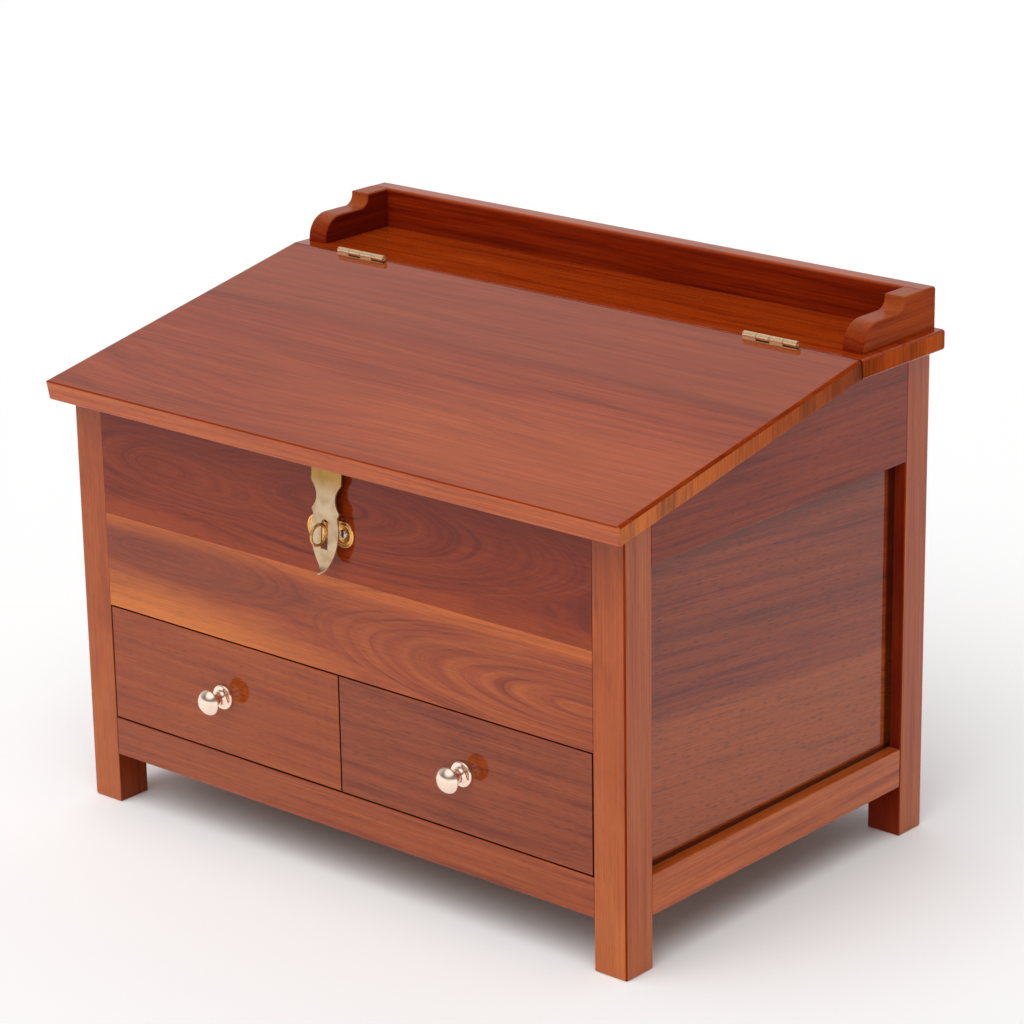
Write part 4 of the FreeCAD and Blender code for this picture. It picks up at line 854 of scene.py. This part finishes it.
sheet = bmesh.new()
first = [sheet.verts.new((width, 0, -rows[0][3])) for width in (0, rows[0][1], rows[0][0])]
chain = [sheet.edges.new(pair) for pair in zip(first, first[1:])]
for half, inner, out, run in rows[1:]:
    grown = bmesh.ops.extrude_edge_only(sheet, edges=chain)["geom"]
    chain = [part for part in grown if isinstance(part, bmesh.types.BMEdge)]
    line = sorted({vert for edge in chain for vert in edge.verts}, key=lambda vert: vert.co.x)
    for vert, width in zip(line, (0, inner, half)):
        vert.co = (width, out, -run)
slot_faces = []
for face in sheet.faces:
    centre = face.calc_center_median()
    if SLOT_TOP - 0.2 < -centre.z < SLOT_FOOT + 0.1 and centre.x < SLOT_HALF * 0.55:
        slot_faces.append(face)
bmesh.ops.delete(sheet, geom=slot_faces, context="FACES")
bmesh.ops.mirror(sheet, geom=sheet.verts[:] + sheet.edges[:] + sheet.faces[:], axis="X", merge_dist=0.01)
bmesh.ops.remove_doubles(sheet, verts=sheet.verts, dist=0.01)
bmesh.ops.recalc_face_normals(sheet, faces=sheet.faces)
if sum(face.normal.y for face in sheet.faces) > 0:
    bmesh.ops.reverse_faces(sheet, faces=sheet.faces)
bmesh.ops.solidify(sheet, geom=sheet.faces, thickness=STRAP_THICK)
bmesh.ops.translate(sheet, verts=sheet.verts, vec=(0, -STRAP_THICK / 2, 0))
ease(sheet, 0.35, steps=2)
solids = [sheet]
knuckle = [(HASP_BORE, 0.2), (HASP_BORE + 0.2, 0), (HASP_BARREL - 0.3, 0), (HASP_BARREL, 0.3)]
knuckle_reach = HASP_HALF - HASP_MIDDLE
knuckle += [(radius, knuckle_reach - height) for radius, height in reversed(knuckle)]
knuckle.append(knuckle[0])
for start in (-HASP_HALF, HASP_MIDDLE):
    solids.append(moved(turned(knuckle, 32), Matrix.Translation((start, 0, 0))
                        @ Matrix.Rotation(QUARTER_TURN, 4, "Y")))
    solids.append(block((start, -STRAP_THICK / 2, -3.0), (start + knuckle_reach, STRAP_THICK / 2, -1.3)))
to_pin = Matrix.Translation((0, hasp_y, hasp_z)) @ Matrix.Rotation(-STRAP_LEAN, 4, "X")
finished("strap", moved(joined(solids), to_pin), "hasp", strap_brass, ["hasp_strap"])

# Staple: two beaded lobes side by side, a ring on a shank, and a slotted round-head screw in each lobe

LOBE = 10.6
LOBE_X = 13.0
PLATE = 1.6
PLATE_HALF = 6.0
RING = 8.0
RING_WIRE = 1.15
RING_OUT = 13.6
RING_DROP = 52.45
STAPLE_X = -1.9
SHANK = 1.8
SHANK_SUNK = 13.0
COLLAR = SHANK + 0.9
staple_z = hasp_z - RING_DROP * math.cos(STRAP_LEAN)
to_board = Matrix.Translation((STAPLE_X, FRONT, staple_z)) @ Matrix.Rotation(QUARTER_TURN, 4, "X")
lobe_profile = [(0, 0), (LOBE, 0), (LOBE, 0.8)] + arc((LOBE - 0.8, 0.8), 0.8, 0, 180, 8)
lobe_profile += [(LOBE - 1.9, 0.7), (LOBE - 2.3, 0.9)] + arc((LOBE - 3.1, 0.9), 0.7, 0, 180, 8)
lobe_profile += [(LOBE - 4.0, 0.75), (0, 0.75)]
bridge = block((-LOBE_X / 2, -PLATE_HALF, 0), (LOBE_X / 2, PLATE_HALF, PLATE))
solids = [ease(bridge, 0.3, steps=2)]
for sign in (-1, 1):
    solids.append(moved(turned(lobe_profile, 56), Matrix.Translation((sign * LOBE_X, 0, 0))))
plate = moved(joined(solids), to_board)
finished("staple_lobes", plate, "carcass", staple_brass, ["staple_plate"])

hoop = bmesh.new()
bmesh.ops.create_circle(hoop, cap_ends=False, segments=24, radius=RING_WIRE,
                        matrix=Matrix.Translation((0, RING, 0)))
bmesh.ops.spin(hoop, geom=hoop.verts[:] + hoop.edges[:], cent=(0, 0, 0), axis=(1, 0, 0), angle=math.tau,
               steps=72, use_merge=True)
bmesh.ops.remove_doubles(hoop, verts=hoop.verts, dist=0.001)
bmesh.ops.recalc_face_normals(hoop, faces=hoop.faces)
moved(hoop, Matrix.Translation((STAPLE_X, FRONT - RING_OUT, staple_z)))
shank = [(0, -SHANK_SUNK), (SHANK, -SHANK_SUNK), (SHANK, PLATE), (COLLAR, PLATE), (COLLAR, PLATE + 0.5),
         (SHANK, PLATE + 1.0), (SHANK, RING_OUT - RING), (0, RING_OUT - RING)]
solids = [hoop, moved(turned(shank, 40), to_board)]
finished("staple_eye", joined(solids), "carcass", ring_brass, ["staple_ring"])

SCREW_HEAD = 3.6
SCREW_RISE = 1.9
SCREW_RIM = 0.2
SCREW_SLOT = 0.45
SLOT_DEEP = 0.9
head_profile = [(0, -1.0), (SCREW_HEAD, -1.0), (SCREW_HEAD, SCREW_RIM)]
for step in range(1, 9):
    angle = step * math.pi / 16
    head_profile.append((SCREW_HEAD * math.cos(angle), SCREW_RIM + SCREW_RISE * math.sin(angle)))
solids = []
for sign in (-1, 1):
    head = turned(head_profile, 48)
    for edge_x in (-SCREW_SLOT, SCREW_SLOT):
        bmesh.ops.bisect_plane(head, geom=head.verts[:] + head.edges[:] + head.faces[:],
                               plane_co=(edge_x, 0, 0), plane_no=(1, 0, 0))
    slot = [face for face in head.faces if abs(face.calc_center_median().x) < SCREW_SLOT
            and face.calc_center_median().z > 0.3]
    grown = bmesh.ops.extrude_face_region(head, geom=slot)["geom"]
    sunk = [part for part in grown if isinstance(part, bmesh.types.BMVert)]
    bmesh.ops.translate(head, verts=sunk, vec=(0, 0, -SLOT_DEEP))
    turn = Matrix.Rotation(math.radians(20 + 35 * sign), 4, "Z")
    solids.append(moved(head, to_board @ Matrix.Translation((sign * LOBE_X, 0, 0.8)) @ turn))
finished("staple_screw_heads", joined(solids), "carcass", screw_steel, ["staple_screws"])

# Drawers: eased front, turned knob, plain box

DRAWER_EDGE = 0.6
KNOB_BASE = 10.2
KNOB_FOOT = 1.2
KNOB_LIP = 1.8
KNOB_NECK = 4.2
KNOB_RISE = 10.8
KNOB_HEAD = 10.7
KNOB_BRIM = 1.8
KNOB_REACH = 24.0
cove = KNOB_BASE - KNOB_LIP - KNOB_NECK
flare = KNOB_HEAD - KNOB_BRIM - KNOB_NECK
lip_top = KNOB_FOOT + KNOB_LIP
widest = KNOB_RISE + flare + KNOB_BRIM
crown = KNOB_REACH - widest
crown_radius = (KNOB_HEAD ** 2 + crown ** 2) / (2 * crown)
crown_angle = math.degrees(math.asin(KNOB_HEAD / crown_radius))
knob_profile = [(0, 0), (KNOB_BASE - 0.3, 0), (KNOB_BASE, 0.3), (KNOB_BASE, KNOB_FOOT)]
knob_profile += arc((KNOB_BASE - KNOB_LIP, KNOB_FOOT), KNOB_LIP, 0, 90, 8)[1:]
knob_profile += arc((KNOB_NECK + cove, lip_top + cove), cove, 270, 180)[1:]
knob_profile += arc((KNOB_NECK + flare, KNOB_RISE), flare, 180, 90)
knob_profile += arc((KNOB_HEAD - KNOB_BRIM, widest), KNOB_BRIM, 270, 360, 8)[1:]
knob_profile += arc((0, KNOB_REACH - crown_radius), crown_radius, 90 - crown_angle, 90, 16)[1:]
for side, sign in SIDES:
    body = f"drawer_{side}"
    low, high = node_corners(f"{body}_front")
    face = ease(block(low, high), DRAWER_EDGE, lambda middle, run: middle.y < FRONT + 1)
    face_teak = teak(f"varnished teak of the {side} drawer front", "X", DRAWER_TONES[side],
                     5.6 + 1.7 * sign, ring=9.0, warp=40.0, streak=0.12, pore=0.3)
    finished(f"{body}_face", face, body, face_teak, [f"{body}_front"],
             others=((lambda normal: abs(normal.y) < 0.5, joint_shade),))
    low, high = node_corners(f"{body}_knob")
    centre = ((low[0] + high[0]) / 2, FRONT, (low[2] + high[2]) / 2)
    to_front = Matrix.Translation(centre) @ Matrix.Rotation(QUARTER_TURN, 4, "X")
    finished(f"{body}_pull", moved(turned(knob_profile), to_front), body, polished_brass,
             [f"{body}_knob"], sharp=60)
    dress([f"{body}_side_left", f"{body}_side_right"], raw_long)
    dress([f"{body}_back", f"{body}_bottom"], raw_wide)
    dress([f"{body}_knob_screw"], screw_steel)
dress(["compartment_floor"], raw_wide)
dress(["floor_cleat_left", "floor_cleat_right", "drawer_runner_left", "drawer_runner_right",
       "drawer_runner_centre", "drawer_guide"], raw_long)

# Stage: matt white floor, a room with a pale wall at the back left, one broad soft light from above

floor_mesh = bmesh.new()
bmesh.ops.create_grid(floor_mesh, x_segments=1, y_segments=1, size=30.0)
floor_data = bpy.data.meshes.new("floor")
floor_mesh.to_mesh(floor_data)
floor_mesh.free()
floor = bpy.data.objects.new("floor", floor_data)
bpy.context.scene.collection.objects.link(floor)
floor_paint = new_finish("matt white floor paint", {
    "Base Color": linear("#fcfcfc"), "Roughness": 0.9, "Specular IOR Level": 0.0,
})[0]
floor_data.materials.append(floor_paint)

world = bpy.data.worlds.new("studio room")
bpy.context.scene.world = world
world.use_nodes = True
room = world.node_tree
gaze = add(room, "TexCoord").outputs["Generated"]
aim = add(room, "SeparateXYZ", {"Vector": gaze}).outputs
aside = add(room, "Math", {0: aim["Y"], 1: aim["X"]}, operation="SUBTRACT").outputs[0]
wall = add(room, "MapRange", {
    "Value": aside, "From Max": 1.1, "To Min": 0.2, "To Max": 0.75,
}).outputs["Result"]
# In front the white of the floor reaches a little higher than at the back left
near_side = add(room, "MapRange", {
    "Value": aside, "From Max": 1.1, "To Min": -0.12, "To Max": 0.0,
}).outputs["Result"]
lift = add(room, "Math", {0: aim["Z"], 1: near_side}, operation="ADD").outputs[0]
height = add(room, "MapRange", {"Value": lift, "From Min": 0.05, "From Max": 0.2}).outputs["Result"]
glow = add(room, "Mix", {0: height, 2: 1.0, 3: wall}, data_type="FLOAT").outputs[0]
# A pale round panel above the front shows in the knobs
overhead = add(room, "VectorMath", {
    0: gaze, 1: Vector((0.05, -0.45, 0.89)),
}, operation="DOT_PRODUCT").outputs["Value"]
panel = add(room, "MapRange", {
    "Value": overhead, "From Min": 0.78, "From Max": 0.93, "To Max": 0.9,
}).outputs["Result"]
bright = add(room, "Math", {0: glow, 1: panel}, operation="ADD").outputs[0]
room.links.new(bright, room.nodes["Background"].inputs["Strength"])
room.nodes["Background"].inputs["Color"].default_value = linear("#ffffff")

lamp = bpy.data.lights.new("broad soft light", "SUN")
lamp.energy = 1.55
lamp.angle = math.radians(70)
lamp_holder = bpy.data.objects.new("broad soft light", lamp)
# The lamp's own disc is kept out of the metal's mirror
lamp_holder.visible_glossy = False
lamp_holder.rotation_euler = Vector((-0.1, 0.5, -1.0)).to_track_quat("-Z", "Y").to_euler()
bpy.context.scene.collection.objects.link(lamp_holder)

# Camera at the photograph's angle

lens = bpy.data.cameras.new("camera")
lens.sensor_width = 36.0
lens.lens = 127.08
lens.clip_end = 200.0
eye = Vector((1.7817, -2.0016, 1.1442))
ahead = Vector((-0.62600, 0.71327, -0.31523)).normalized()
level = ahead.cross(Vector((0, 0, 1))).normalized()
right = Matrix.Rotation(math.radians(0.93), 3, ahead) @ level
upward = right.cross(ahead)
camera = bpy.data.objects.new("camera", lens)
camera.matrix_world = Matrix((
    (right.x, upward.x, -ahead.x, eye.x),
    (right.y, upward.y, -ahead.y, eye.y),
    (right.z, upward.z, -ahead.z, eye.z),
    (0, 0, 0, 1),
))
bpy.context.scene.collection.objects.link(camera)
bpy.context.scene.camera = camera
bpy.context.scene.view_settings.view_transform = "Standard"
